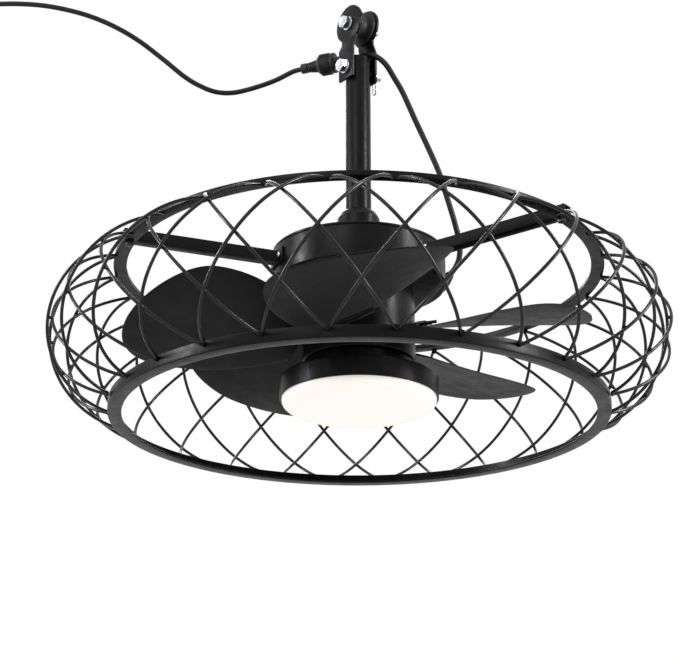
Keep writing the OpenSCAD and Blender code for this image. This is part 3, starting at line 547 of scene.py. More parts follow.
def swept(path: Sequence[Vector], radius: float, sides: int = 12) -> tuple[Solid, list[tuple[float, float]]]:
    """Round tube along a path, with closed ends.

    Args:
        path: Centre points.
        radius: Radius of the tube.
        sides: Sides of the tube.

    Returns:
        The tube, and a UV pair for every corner: round and along it.
    """
    solid, marks, run = Solid(), [], 0.0
    up = Vector((0.3, 0.2, 1.0))
    for i, p in enumerate(path):
        tangent = (path[min(i + 1, len(path) - 1)] - path[max(i - 1, 0)]).normalized()
        up = (up - tangent * up.dot(tangent)).normalized()
        across = tangent.cross(up)
        run += (p - path[i - 1]).length if i else 0.0
        for k in range(sides):
            a = 2 * math.pi * k / sides
            solid.points.append(p + radius * (math.cos(a) * up + math.sin(a) * across))
            marks.append((k / sides, run * 0.1))
    last = (len(path) - 1) * sides
    for start in range(0, last, sides):
        for k in range(sides):
            m = (k + 1) % sides
            solid.faces.append((start + k, start + m, start + sides + m, start + sides + k))
    solid.faces += [tuple(range(sides - 1, -1, -1)), tuple(last + k for k in range(sides))]
    return solid, marks


# Geometry Nodes


def put(name: str, data: object) -> Thing:
    """Put a new object in the scene.

    Args:
        name: Its name.
        data: Its mesh, camera or lamp.

    Returns:
        The object.
    """
    obj = bpy.data.objects.new(name, data)
    bpy.context.scene.collection.objects.link(obj)
    return obj


def plain(name: str, points: Iterable[Vector], faces: Sequence[tuple[int, ...]] = ()) -> bpy.types.Mesh:
    """Make a mesh in metres.

    Args:
        name: Its name.
        points: Its corners, in millimetres.
        faces: Its faces, as corner numbers.

    Returns:
        The mesh.
    """
    mesh = bpy.data.meshes.new(name)
    mesh.from_pydata([tuple(p * MM) for p in points], [], faces)
    return mesh


def applied(obj: Thing) -> bpy.types.Mesh:
    """Mesh of an object with its modifiers applied."""
    bpy.context.view_layer.update()
    return bpy.data.meshes.new_from_object(obj.evaluated_get(bpy.context.evaluated_depsgraph_get()))


def shaded(mesh: bpy.types.Mesh, sharp: float = SHARP) -> bpy.types.Mesh:
    """Give a mesh smooth shading that breaks at sharp edges.

    Args:
        mesh: The mesh.
        sharp: Edge angle, in degrees, past which shading breaks.

    Returns:
        The same mesh.
    """
    mesh.shade_smooth()
    mesh.set_sharp_from_angle(angle=math.radians(sharp))
    return mesh


class NodeTool(Tree):
    """A Geometry Nodes tree with named inputs, whose result becomes a plain mesh."""

    def __init__(self, name: str, kinds: dict[str, str]) -> None:
        """Start a tree.

        Args:
            name: Name of the tree.
            kinds: Label and type of each input.
        """
        super().__init__(bpy.data.node_groups.new(name, "GeometryNodeTree"))
        face = self.tree.interface
        face.new_socket("Geometry", in_out="INPUT", socket_type="NodeSocketGeometry")
        self.keys: dict[str, str] = {}
        for label, kind in {**kinds, "Material": "Material"}.items():
            socket = face.new_socket(label, in_out="INPUT", socket_type="NodeSocket" + kind)
            self.keys[label] = socket.identifier
        face.new_socket("Geometry", in_out="OUTPUT", socket_type="NodeSocketGeometry")
        self.inputs = self.tree.nodes.new("NodeGroupInput").outputs

    def put_on(self, dots: Socket, piece: Socket, turn: Socket) -> None:
        """Put a piece on every dot, realize the instances, set the material and end the tree.

        Args:
            dots: The points.
            piece: The piece's geometry.
            turn: Rotation at each point.
        """
        values = {"Points": dots, "Instance": piece, "Rotation": turn}
        placed = self.node("GeometryNodeInstanceOnPoints", values)
        real = self.node("GeometryNodeRealizeInstances", {0: placed})
        real = self.node("GeometryNodeSetMaterial", {"Geometry": real, "Material": self.inputs["Material"]})
        self.tree.links.new(real, self.tree.nodes.new("NodeGroupOutput").inputs[0])

    def repeat_round(self, piece: Socket) -> None:
        """Repeat a piece round Z, by the inputs Count and Phase, and end the tree.

        Args:
            piece: The piece's geometry.
        """
        count = self.inputs["Count"]
        dots = self.node("GeometryNodePoints", {"Count": count, "Position": (0.0, 0.0, 0.0)})
        step = self.math("DIVIDE", math.tau, count)
        angle = self.math("MULTIPLY", self.node("GeometryNodeInputIndex", {}), step)
        self.put_on(dots, piece, self.axes(Z=self.math("ADD", angle, self.inputs["Phase"])))

    def run(self, obj: Thing, **values: object) -> None:
        """Turn an object into the tree's result, a plain mesh.

        Args:
            obj: Object that carries the modifier.
            values: Input labels, with underscores for spaces, and values.
        """
        modifier = obj.modifiers.new("make", "NODES")
        modifier.node_group = self.tree
        for label, value in values.items():
            modifier[self.keys[label.replace("_", " ")]] = value
        mesh = applied(obj)
        obj.modifiers.remove(modifier)
        obj.data = mesh


def round_tool() -> NodeTool:
    """Tree that repeats a mesh round the Z axis.

    Returns:
        The tool, with the count and the phase as inputs.
    """
    tool = NodeTool("repeat_round", {"Count": "Int", "Phase": "Float"})
    tool.repeat_round(tool.inputs["Geometry"])
    return tool


def wire_tool() -> NodeTool:
    """Tree that bends one round wire into a tilted arc and repeats it round the Z axis.

    Returns:
        The tool, with the arc's sizes, the count and the phase as inputs.
    """
    labels = ("Arc Radius", "Half Angle", "Inset", "Lean", "Tip", "Middle Radius", "Middle Height",
              "Wire Radius", "Phase")
    tool = NodeTool("cage_wires", {**dict.fromkeys(labels, "Float"), "Count": "Int"})
    get, half = tool.inputs, tool.inputs["Half Angle"]
    arc = tool.node("GeometryNodeCurveArc", {
        "Resolution": 64, "Radius": get["Arc Radius"], "Start Angle": tool.math("MULTIPLY", half, -1.0),
        "Sweep Angle": tool.math("MULTIPLY", half, 2.0)}, mode="RADIUS")
    profile = {"Resolution": 12, "Radius": get["Wire Radius"]}
    ring = tool.node("GeometryNodeCurvePrimitiveCircle", profile, mode="RADIUS")
    wire = tool.node("GeometryNodeCurveToMesh", {"Curve": arc, "Profile Curve": ring, "Fill Caps": True})
    wire = tool.node("GeometryNodeSetShadeSmooth", {"Geometry": wire})
    steps = ((tool.axes(X=get["Inset"]), tool.axes(X=get["Lean"])),
             (tool.axes(X=get["Middle Radius"], Z=get["Middle Height"]), tool.axes(Y=get["Tip"])))
    for place, turn in steps:
        wire = tool.node("GeometryNodeTransform", {"Geometry": wire, "Translation": place, "Rotation": turn})
    tool.repeat_round(wire)
    return tool


def place_tool() -> NodeTool:
    """Tree that puts a small piece at each corner of a mesh, facing the way that its attribute says.

    Returns:
        The tool, with the inputs Piece, Seed, Turn and Material.
    """
    tool = NodeTool("place_small_pieces", {"Piece": "Object", "Seed": "Int", "Turn": "Float"})
    get = tool.inputs
    piece = tool.node("GeometryNodeObjectInfo", {"Object": get["Piece"]}, "Geometry")
    facing = tool.node("GeometryNodeInputNamedAttribute", {"Name": "facing"}, data_type="FLOAT_VECTOR")
    aim = tool.node("FunctionNodeAlignRotationToVector", {"Vector": facing}, axis="Z")
    limits = {"Max": get["Turn"], "Seed": get["Seed"]}
    chance = tool.node("FunctionNodeRandomValue", limits, 1, data_type="FLOAT")
    around = {"Rotation": aim, "Rotate By": tool.axes(Z=chance)}
    turn = tool.node("FunctionNodeRotateRotation", around, rotation_space="LOCAL")
    tool.put_on(tool.node("GeometryNodeMeshToPoints", {"Mesh": get["Geometry"]}), piece, turn)
    return tool


# Workshop


class Shop:
    """Makes objects, gives them their finish and hands them to their bodies."""

    def __init__(self) -> None:
        """Start with an empty shelf of materials and the node tools."""
        self.shelf: dict[str, bpy.types.Material] = {}
        self.round, self.wires, self.places = round_tool(), wire_tool(), place_tool()

    def finish(self, finish: Finish) -> bpy.types.Material:
        """Material of a finish, made once.

        Args:
            finish: The finish.

        Returns:
            Its material.
        """
        if finish.name not in self.shelf:
            self.shelf[finish.name] = finish.build()
        return self.shelf[finish.name]

    def paint(self, obj: Thing, finish: Finish) -> None:
        """Give an object's mesh a finish."""
        obj.data.materials.clear()
        obj.data.materials.append(self.finish(finish))

    def mesh(self, name: str, solid: Solid, sharp: float = SHARP) -> Thing:
        """Object from a solid, with its normals outward and its sharp edges marked.

        Args:
            name: Name of the object.
            solid: Solid in millimetres.
            sharp: Edge angle, in degrees, past which shading breaks.

        Returns:
            The object, in metres.
        """
        mesh = plain(name, solid.points, solid.faces)
        work = bmesh.new()
        work.from_mesh(mesh)
        bmesh.ops.remove_doubles(work, verts=work.verts, dist=1e-6)
        bmesh.ops.dissolve_degenerate(work, edges=work.edges, dist=1e-7)
        bmesh.ops.recalc_face_normals(work, faces=work.faces)
        work.to_mesh(mesh)
        work.free()
        return put(name, shaded(mesh, sharp))

    def settle(self, obj: Thing, finish: Finish, nodes: Iterable[str] = (), body: Body = Body.FAN) -> Thing:
        """Dress a piece, let it ride on its body and report it.

        Args:
            obj: The piece.
            finish: Its finish.
            nodes: CAD nodes that it stands for.
            body: Body that it moves with.

        Returns:
            The piece.
        """
        self.paint(obj, finish)
        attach(obj, body.value)
        if nodes:
            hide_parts(*nodes)
        LOG.info("%s on %s, %s", obj.name, body.value, finish.name)
        return obj

    def add(self, name: str, solid: Solid, finish: Finish, node: str, body: Body = Body.FAN,
            sharp: float = SHARP) -> Thing:
        """Make, dress and place a piece.

        Args:
            name: Name of the piece.
            solid: Its solid in millimetres.
            finish: Its finish.
            node: CAD node that it stands for.
            body: Body that it moves with.
            sharp: Edge angle, in degrees, past which shading breaks.

        Returns:
            The piece.
        """
        return self.settle(self.mesh(name, solid, sharp), finish, [node], body)

    def dress(self, finish: Finish, *nodes: str) -> None:
        """Give CAD nodes that stay a finish.

        Args:
            finish: Their finish.
            nodes: Names of the CAD nodes.
        """
        for name in nodes:
            self.paint(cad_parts[name], finish)
            LOG.info("%s keeps its CAD shape, %s", name, finish.name)

    def softened(self, node: str, finish: Finish, width: float, body: Body = Body.FAN) -> Thing:
        """Copy of a CAD node whose hard edges are rounded.

        Args:
            node: Name of the CAD node.
            finish: Its finish.
            width: Width of the rounding, in millimetres.
            body: Body that it moves with.

        Returns:
            The rounded piece.
        """
        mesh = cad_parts[node].data.copy()
        work = bmesh.new()
        work.from_mesh(mesh)
        bmesh.ops.remove_doubles(work, verts=work.verts, dist=2e-6)
        bmesh.ops.dissolve_limit(work, angle_limit=math.radians(0.8), verts=work.verts, edges=work.edges)
        work.to_mesh(mesh)
        work.free()
        obj = put("soft_" + node, mesh)
        bevel = obj.modifiers.new("edges", "BEVEL")
        bevel.width, bevel.segments, bevel.limit_method = width * MM, 2, "ANGLE"
        bevel.angle_limit, bevel.use_clamp_overlap = math.radians(40), True
        mesh = applied(obj)
        obj.modifiers.clear()
        obj.data = shaded(mesh)
        return self.settle(obj, finish, [node], body)

    def spread(self, name: str, piece: Solid, spots: Sequence[tuple[Vector, Vector]], finish: Finish,
               nodes: Iterable[str] = ()) -> None:
        """Put a small piece on the fan body at every spot, each turned at random about its facing.

        Args:
            name: Name of the result.
            piece: The small piece, its foot at the origin and its top towards Z, in millimetres.
            spots: Place and facing of each, in millimetres.
            finish: Their finish.
            nodes: CAD nodes that they stand for.
        """
        model = self.mesh(name + "_model", piece)
        mesh = plain(name, [place for place, _ in spots])
        facing = mesh.attributes.new("facing", "FLOAT_VECTOR", "POINT")
        for item, (_, way) in zip(facing.data, spots):
            item.vector = way
        obj = put(name, mesh)
        self.places.run(obj, Piece=model, Seed=7, Turn=math.tau, Material=self.finish(finish))
        bpy.data.objects.remove(model)
        self.settle(obj, finish, nodes)


# Camera, light and stage


@dataclass
class Studio:
    """Camera at the photograph's angle, plain light, a pale floor and a white backdrop.

    Attributes:
        eye: Place of the camera, in metres.
        heading: Direction it looks, seen from above.
        pitch: Angle above the horizon, in radians.
        focal_px: Focal length in pixels of the frame.
        width_px: Width of the frame in pixels.
        sensor: Width of the sensor, in millimetres.
        daylight: Strength of the plain light from all round.
        floor_z: Height of the floor, in metres.
        floor_r: Radius of the floor, in metres.
        floor_sides: Corners of the floor's edge.
        floor_white: Share of plain white that the camera sees on the floor; the rest keeps its shadow.
        middle: Point that most lamps face, in metres.
        lamps: Name, place, width and watts of the soft square lamps.
        strips: Name, place, aim, width, watts and height of the upright strips.
    """

    eye: Point = (-1.0990, -1.4257, -0.99425)
    heading: Point = (0.6018, 0.7986)
    pitch: float = 0.344457
    focal_px: float = 1884.37
    width_px: float = 679.0
    sensor: float = 36.0
    daylight: float = 0.55
    floor_z: float = -2.6
    floor_r: float = 9.5
    floor_sides: int = 96
    floor_white: float = 0.75
    middle: Point = (0.0, 0.0, -0.3)
    lamps: Sequence[tuple[str, Point, float, float]] = (
        ("key", (-2.6, -1.2, 1.3), 1.6, 26.0), ("fill", (1.4, -2.8, 0.2), 1.8, 8.0),
        ("low", (-0.6, -1.6, -2.2), 1.6, 8.0), ("rim", (1.2, 2.4, 1.4), 1.4, 26.0))
    strips: Sequence[tuple[str, Point, Point, float, float, float]] = (
        ("strip_left", (-1.77, 0.94, 0.28), (0.0, 0.0, -0.35), 0.26, 30.0, 0.75),
        ("strip_right", (1.09, -1.68, 0.40), (0.0, 0.0, -0.3), 0.24, 48.0, 1.2))

    def camera(self) -> None:
        """Set the camera, without shift or depth of field."""
        data = bpy.data.cameras.new("camera")
        data.sensor_fit, data.sensor_width = "HORIZONTAL", self.sensor
        data.lens = self.focal_px / self.width_px * self.sensor
        data.clip_start, data.clip_end = 0.05, 60.0
        obj = put("camera", data)
        flat = math.cos(self.pitch)
        look = Vector((self.heading[0] * flat, self.heading[1] * flat, math.sin(self.pitch)))
        obj.location = self.eye
        obj.rotation_euler = look.to_track_quat("-Z", "Y").to_euler()
        bpy.context.scene.camera = obj
        bpy.context.scene.view_settings.view_transform = "Standard"

    def white(self, bench: Tree, lit: Socket, shader: str, share: float) -> Socket:
        """Show plain white to the camera, glossy and transmitted rays, and the lit look to the rest.

        Args:
            bench: Node tree to add to.
            lit: Shader for all other rays.
            shader: Node type that gives the white.
            share: Part of the white in the mix; the rest is the lit look, with its shadow.

        Returns:
            The mixed shader output.
        """
        rays = 0.0
        path = bench.tree.nodes.new("ShaderNodeLightPath").outputs
        for name in ("Is Camera Ray", "Is Glossy Ray", "Is Transmission Ray"):
            rays = bench.math("MAXIMUM", rays, path[name])
        white = bench.node(shader, {"Color": (1.0, 1.0, 1.0, 1.0)})
        return bench.node("ShaderNodeMixShader", {0: bench.math("MULTIPLY", rays, share), 1: lit, 2: white})

    def world(self) -> None:
        """Plain grey light from all round, white to the camera."""
        world = bpy.data.worlds.new("plain_light")
        world.use_nodes = True
        bpy.context.scene.world = world
        bench = Tree(world.node_tree)
        values = {"Color": (1.0, 1.0, 1.0, 1.0), "Strength": self.daylight}
        seen = self.white(bench, bench.node("ShaderNodeBackground", values), "ShaderNodeBackground", 1.0)
        bench.tree.links.new(seen, bench.tree.nodes["World Output"].inputs["Surface"])

    def floor(self) -> None:
        """Pale round floor far below the fan."""
        sides = self.floor_sides
        rim = [polar(self.floor_r / MM, 360 * k / sides, self.floor_z / MM) for k in range(sides)]
        obj = put("floor", plain("floor", rim, [tuple(range(sides))]))
        bench = Bench("pale_floor")
        bench.feed("Base Color", bench.tint(bench.noise(2.0, 3.0), (0.86, 0.86, 0.86), (0.90, 0.90, 0.90)))
        bench.set(Roughness=0.8)
        seen = self.white(bench, bench.shader.outputs[0], "ShaderNodeEmission", self.floor_white)
        bench.tree.links.new(seen, bench.tree.nodes["Material Output"].inputs["Surface"])
        obj.data.materials.append(bench.material)

    def lamp(self, name: str, place: Point, aim: Point, size: float, power: float,
             height: float = 0.0) -> None:
        """Soft square lamp, or an upright strip where a height is given.

        Args:
            name: Name of the lamp.
            place: Where it stands, in metres.
            aim: Point that it faces, in metres.
            size: Width of the lamp, in metres.
            power: Power in watts.
            height: Height of a strip, in metres, or 0 for a square.
        """
        data = bpy.data.lights.new(name, "AREA")
        data.size, data.energy = size, power
        if height:
            data.shape, data.size_y = "RECTANGLE", height
        obj = put(name, data)
        obj.location = place
        obj.rotation_euler = (Vector(aim) - Vector(place)).to_track_quat("-Z", "Y").to_euler()

    def build(self) -> None:
        """Set the whole studio up."""
        self.camera()
        self.world()
        self.floor()
        for name, place, size, power in self.lamps:
            self.lamp(name, place, self.middle, size, power)
        for strip in self.strips:
            self.lamp(*strip)


# Sub-assemblies, in millimetres


@dataclass
class Assembly:
    """Part of the fan that holds its own sizes, in millimetres and degrees unless it says otherwise.

    Attributes:
        shop: Workshop that makes its pieces.
    """

    shop: Shop


@dataclass
class Coil:
    """Spare supply cord wound in layers, with its tail hanging to the plug.

    Attributes:
        diameter: Diameter of the cord.
        inner: Radius of the innermost turns.
        loops: Turns in all.
        layers: Layers side by side.
        rise: Distance between two layers.
        pitch: Distance between two turns of a layer.
        tail: Heights below the last turn that the tail passes, after its first diameter.
        angle: Turn of the coil about Z, in degrees.
        climb: Angle over which the cord climbs to the next layer, in degrees.
        steps: Points on each turn.
    """

    diameter: float = 5.4
    inner: float = 23.0
    loops: float = 19.25
    layers: int = 4
    rise: float = 5.9
    pitch: float = 6.03
    tail: Sequence[float] = (15.0, 25.0, 35.0, 45.0)
    angle: float = -37.0
    climb: float = 180.0
    steps: int = 40

    def local(self) -> list[Vector]:
        """Points of the coil and its tail, about the coil's own axis.

        Returns:
            Points in millimetres.
        """
        total = 360.0 * self.loops
        layer = total / self.layers
        count = round(self.loops * self.steps)
        width = self.pitch * self.loops / self.layers
        points = []
        for i in range(count + 1):
            a = total * i / count
            k = min(int(a // layer), self.layers - 1)
            part = a / layer - k
            r = self.inner + width * (part if k % 2 else 1 - part)
            starts = [n * layer - self.climb / 2 for n in range(1, self.layers)]
            eased = [min(1, max(0, (a - start) / self.climb)) for start in starts]
            climbed = sum((1 - math.cos(math.pi * share)) / 2 for share in eased)
            turn = math.radians(90 + a)
            y = self.rise * (climbed - (self.layers - 1) / 2)
            points.append(Vector((r * math.cos(turn), y, r * math.sin(turn))))
        down = [points[-1] - Vector((0, 0, drop)) for drop in (self.diameter, *self.tail)]
        return [points[0] + Vector((self.diameter, 0, 0)), *points, *down]

    def place(self, start: Point) -> Matrix:
        """Transform from the coil's own axis to where its first point lies on a given point."""
        return Matrix.Translation(Vector(start)) @ spin(self.angle) @ Matrix.Translation(-self.local()[0])


@dataclass
class Cords(Assembly):
    """Motor lead, supply cord with its coil, plug and tie.

    Attributes:
        lead: Route of the motor lead, from the connector to the drum.
        supply: Route of the supply cord, from the connector to the coil.
        lead_d: Diameter of the motor lead.
        coil: The coil of spare cord.
        steps: Pieces between two points of a route.
        sides: Sides of a cord.
    """

    lead: Sequence[Point] = (
        (-2, 10, -36), (2, 3, -35), (5, -5.5, -35), (8.5, -13.5, -37), (13, -20.5, -42.5),
        (18.5, -26, -51.5), (27, -28.5, -65), (36, -31.5, -81), (48, -37, -112), (59, -44, -143),
        (68, -50, -171), (76, -53, -199), (84, -55, -226), (90.5, -54, -246), (92.5, -51.5, -260),
        (90.5, -48, -271), (85, -45, -280))
    supply: Sequence[Point] = (
        (-31.4, 58.9, -36), (-37, 69, -37), (-48, 85, -44), (-64, 102, -51), (-81, 117, -56),
        (-97, 127, -56), (-113, 134, -51), (-129, 142, -41), (-152, 152, -22), (-176, 162, -4),
        (-200, 173, 10), (-223, 185, 20), (-246, 197, 26), (-269, 211, 30), (-292, 226, 31),
        (-315, 242, 30), (-336, 257, 29), (-355, 271, 29))
    lead_d: float = 6.0
    coil: Coil = field(default_factory=Coil)
    steps: int = 6
    sides: int = 14

    def jacket(self, name: str, path: Sequence[Vector], diameter: float, nodes: Sequence[str]) -> Thing:
        """Round cord along a path, with a UV map along it.

        Args:
            name: Name of the cord.
            path: Centre points.
            diameter: Its diameter.
            nodes: CAD nodes that it stands for.

        Returns:
            The cord.
        """
        solid, marks = swept(path, diameter / 2, self.sides)
        mesh = plain(name, solid.points, solid.faces)
        layer = mesh.uv_layers.new(name="along")
        for loop in mesh.loops:
            layer.data[loop.index].uv = marks[loop.vertex_index]
        mesh.shade_smooth()
        return self.shop.settle(put(name, mesh), JACKET, nodes)

    def plug(self) -> list[Thing]:
        """Moulded plug with a ribbed neck, raised grips and two flat pins.

        Returns:
            The plug's pieces.
        """
        end = Matrix.Translation(self.coil.local()[-1])
        place = self.coil.place(self.supply[-1]) @ end @ spin(180, "X")
        collar, pin_root = 10.0, 32.0
        neck: list[Point] = [(0, 0)]
        for k in range(5):
            r, z = 3.7 + 0.36 * k, 2.0 * k
            neck += [(r, z + (0.0 if k else 0.1), 0.2), (r, z + 1.2, 0.2), (r - 0.7, z + 1.3),
                     (r - 0.7, z + 2.0)]
        neck += [(5.5, collar), (5.5, collar + 1), (0, collar + 1)]
        shell = turned(neck, 40) + slab(rounded(box(11, 7.5, 3.5), 5), collar, pin_root, 1.0)
        bar = slab(rounded(box(5, 0.5, 0.4), 2), 0, 0.7, 0.2)
        pin = rounded([(-3.2, 0, 0), (3.2, 0, 0), (3.2, 17, 1.6), (-3.2, 17, 1.6)], 4)
        pin = slab(pin, -0.75, 0.75, 0.2)
        pins = Solid()
        for side in (-1, 1):
            for k in range(4):
                shell += bar.moved(shift(0, side * 7.2, 14 + 3.2 * k) @ spin(-90 * side, "X"))
            pins += pin.moved(shift(side * 6.35, 0, pin_root + HAIR) @ spin(90) @ spin(90, "X"))
        return [self.shop.add("moulded_plug", shell.moved(place), MOULDED, "plug_body"),
                self.shop.add("flat_plug_pins", pins.moved(place), PIN_BRASS, "plug_pins")]

    def measured(self, path: Sequence[Vector]) -> tuple[list[Vector], float]:
        """A path in metres, and its length."""
        metres = [p * MM for p in path]
        return metres, sum((b - a).length for a, b in zip(metres, metres[1:]))

    def build(self) -> None:
        """Make both cords, the coil, the plug and the tie."""
        path = smooth_route(self.lead, self.steps)[::-1]
        lead = self.jacket("motor_lead_jacket", path, self.lead_d, ["motor_lead"])
        place = self.coil.place(self.supply[-1])
        path = smooth_route(self.supply, self.steps)[:-1] + [place @ p for p in self.coil.local()]
        cord = self.jacket("supply_cord_jacket", path, self.coil.diameter, ["supply_cord", "supply_coil"])
        pieces = self.plug()
        tie = self.shop.softened("coil_tie", TIE, 0.5)


@dataclass
class Connector(Assembly):
    """Plug-and-socket joint between the motor lead and the supply cord.

    Attributes:
        start: Where the joint starts.
        angle: Its direction about Z.
        nut_r: Radius of the ribbed nut.
        bore: Radius of the nut's bore.
        ribs: Ribs round the nut.
    """

    start: Point = (-2.0, 10.0, -36.0)
    angle: float = 121.0
    nut_r: float = 12.0
    bore: float = 8.03
    ribs: int = 40

    def build(self) -> None:
        """Make the socket half, the nut with its ribs and the plug half with its strain relief."""
        place, shop = shift(*self.start) @ spin(self.angle) @ spin(90, "Y"), self.shop
        boot = [(0, 0), (3.7, 0, 0.3), (4.9, 8, 0.3), (6, 8.2, 0.4), (6, 17, 0.3), (10.3, 17, 0.6),
                (11, 18, 0.5), (11, 21.2, 0.6), (10.2, 22, 0.4), (8, 22, 0.2), (8, 34.8), (0, 34.8)]
        shop.add("socket_half", turned(boot, 64).moved(place), MOULDED, "lead_connector")
        r, bore = self.nut_r, self.bore
        nut = [(bore, 22.05), (r - 1.3, 22.05, 0.5), (r - 0.8, 23.2, 0.3), (r - 0.8, 33.6, 0.6),
               (r - 3, 36.8, 0.8), (bore, 36.8)]
        shop.add("union_nut", turned(nut, 80).moved(place), MOULDED, "connector_nut")
        rib = slab([(-0.42, -0.35), (0.42, -0.35), (0.3, 0.75), (-0.3, 0.75)], 23.0, 33.8, 0.25)
        ribs = shop.mesh("nut_ribs", rib.moved(shift(r - 0.9, 0, 0) @ spin(-90)))
        shop.round.run(ribs, Count=self.ribs, Phase=0.0, Material=shop.finish(MOULDED))
        metres = place.copy()
        metres.translation = place.translation * MM
        ribs.data.transform(metres)
        shop.settle(ribs, MOULDED)
        relief: list[Point] = [(0, 35.1), (8, 35.1, 0.2), (8, 37.0, 0.3), (7.2, 37.2)]
        for k in range(5):
            z, w = 37.6 + 2.3 * k, 7.0 - 0.38 * k
            relief += [(w, z, 0.25), (w, z + 1.3, 0.25), (w - 1.0, z + 1.4), (w - 1.0, z + 2.2)]
        relief += [(5.2, 49.5), (5.5, 50.0, 0.6), (5.5, 57.0, 0.8), (0, 57.0)]
        shop.add("strain_relief", turned(relief, 56).moved(place), MOULDED, "supply_connector")


@dataclass
class Hanger(Assembly):
    """Sheave between two cheek plates, with its bolts, washers and clips.

    Attributes:
        sheave_r: Outer radius of the sheave.
        groove_r: Radius at the bottom of the groove.
        half: Half the sheave's width.
        jog: How much nearer the middle the upper bolt's plates lie.
        pitch: Distance between the two bolts.
        bolt_r: Radius of the bolts.
        head_r: Radius of a bolt head's corners.
        head_x: Distance from the middle to a bolt head's outer face.
        seat_x: Distance from the middle to a bolt head's seat.
        tail_x: Distance from the middle to a bolt's tail.
        cheek_out: Distance from the middle to a cheek plate's outer face.
        washer_r: Radius of the washers.
        washer_h: Thickness of the washers.
        washer_bore: Radius of their bore.
    """

    sheave_r: float = 19.0
    groove_r: float = 13.0
    half: float = 9.35
    jog: float = 4.0
    pitch: float = 53.0
    bolt_r: float = 4.0
    head_r: float = 7.4
    head_x: float = 25.35
    seat_x: float = 20.05
    tail_x: float = 30.25
    cheek_out: float = 16.65
    washer_r: float = 7.6
    washer_h: float = 1.6
    washer_bore: float = 4.05

    def build(self) -> None:
        """Make the hanger."""
        shop, r, h = self.shop, self.sheave_r, self.half
        half = [(self.groove_r, 4, 1.4), (r, 6.57, 1.1), (r, h, 1.1), (17.3, h, 0.2), (17.0, h - 0.5),
                (15.6, h - 0.5), (15.2, h, 0.3), (7.02, h, 0.3)]
        wheel = [(a, -b, *rest) for a, b, *rest in half[::-1]] + half
        shop.add("grooved_sheave", turned(wheel, 128, Axis.X, 5), SHEAVE_RUBBER, "hanger_sheave", Body.SHEAVE)
        shop.dress(BRASS, "sheave_bush")
        shop.softened("cheek_plate_front", PAINT, 0.6, Body.HANGER)
        shop.softened("cheek_plate_rear", PAINT, 0.6, Body.HANGER)
        shop.dress(ZINC, "spring_washers", "r_clips")
        washers = Solid()
        for name, jog, z in (("upper_bolt", self.jog, 0.0), ("lower_bolt", 0.0, -self.pitch)):
            self.bolt(name, jog, z)
            for x in (jog - self.cheek_out - self.washer_h, self.cheek_out - jog):
                end = x + self.washer_h
                ring = [(self.washer_bore, x, 0.1), (self.washer_r, x, 0.25), (self.washer_r, end, 0.25),
                        (self.washer_bore, end, 0.1)]
                washers += turned(ring, 64, Axis.X).moved(shift(0, 0, z))
        shop.add("flat_washers", washers, ZINC, "hanger_washers", Body.HANGER)

    def bolt(self, name: str, jog: float, z: float) -> None:
        """Hexagon-head bolt with a chamfered head, a dished face and a chamfered tail.

        Args:
            name: CAD node that it stands for.
            jog: How much nearer the middle its plates lie.
            z: Height of its axis.
        """
        start, seat, tail = jog - self.head_x, jog - self.seat_x, self.tail_x - jog
        head = hexagon(self.head_r, start + 0.35, seat, 0.5).moved(spin(90, "Y") @ spin(180))
        face = turned([(0, start + 0.25), (4.6, start + 0.25), (5.2, start), (6.1, start, 0.2),
                       (6.4, start + 0.5), (0, start + 0.6)], 48, Axis.X)
        shank = turned([(0, seat - 0.5), (self.bolt_r, seat - 0.5), (self.bolt_r, tail - 0.8),
                        (self.bolt_r - 0.8, tail), (0, tail)], 48, Axis.X)
        self.shop.add("hex_" + name, (head + face + shank).moved(shift(0, 0, z)), ZINC, name, Body.HANGER)


@dataclass
class Downrod(Assembly):
    """Downrod and the cover over its coupling.

    Attributes:
        radius: Outer radius of the rod.
        wall: Wall of the rod.
        top: Height of its top.
        bottom: Height of its foot.
        drum_top: Height that the cover stands on, a hair over the drum's lid.
        cover_foot: Radius of the cover's foot.
        cover_h: Height of the cover.
    """

    radius: float = 13.35
    wall: float = 2.0
    top: float = -40.0
    bottom: float = -256.0
    drum_top: float = -263.98
    cover_foot: float = 31.0
    cover_h: float = 47.0

    def build(self) -> None:
        """Make the rod and the cover."""
        r, bore = self.radius, self.radius - self.wall
        rod = [(bore, self.bottom), (r, self.bottom), (r, self.top, 0.6), (bore, self.top, 0.6)]
        self.shop.add("pipe", turned(rod, 96), PAINT, "downrod")
        z, f, h = self.drum_top, self.cover_foot, self.cover_h
        outline = [(f, 0, 0.5), (f, 2, 0.9), (f - 5, 5, 4), (23.5, 22, 20), (22, h - 9, 3),
                   (19, h - 3.5, 2.5), (14.9, h, 0.8), (13.45, h, 0.3), (13.45, h - 1.5), (17.5, h - 5.2, 2),
                   (20.4, h - 9.5, 3), (21.9, 22, 20), (f - 7, 6, 4), (f - 1.5, 0)]
        cover = turned([(a, b + z, *rest) for a, b, *rest in outline], 112, round_steps=6)
        self.shop.add("bell_cover", cover, PAINT, "coupling_cover", sharp=50.0)
        self.shop.dress(STEEL, "motor_coupling")
        self.shop.dress(ZINC, "coupling_pin")


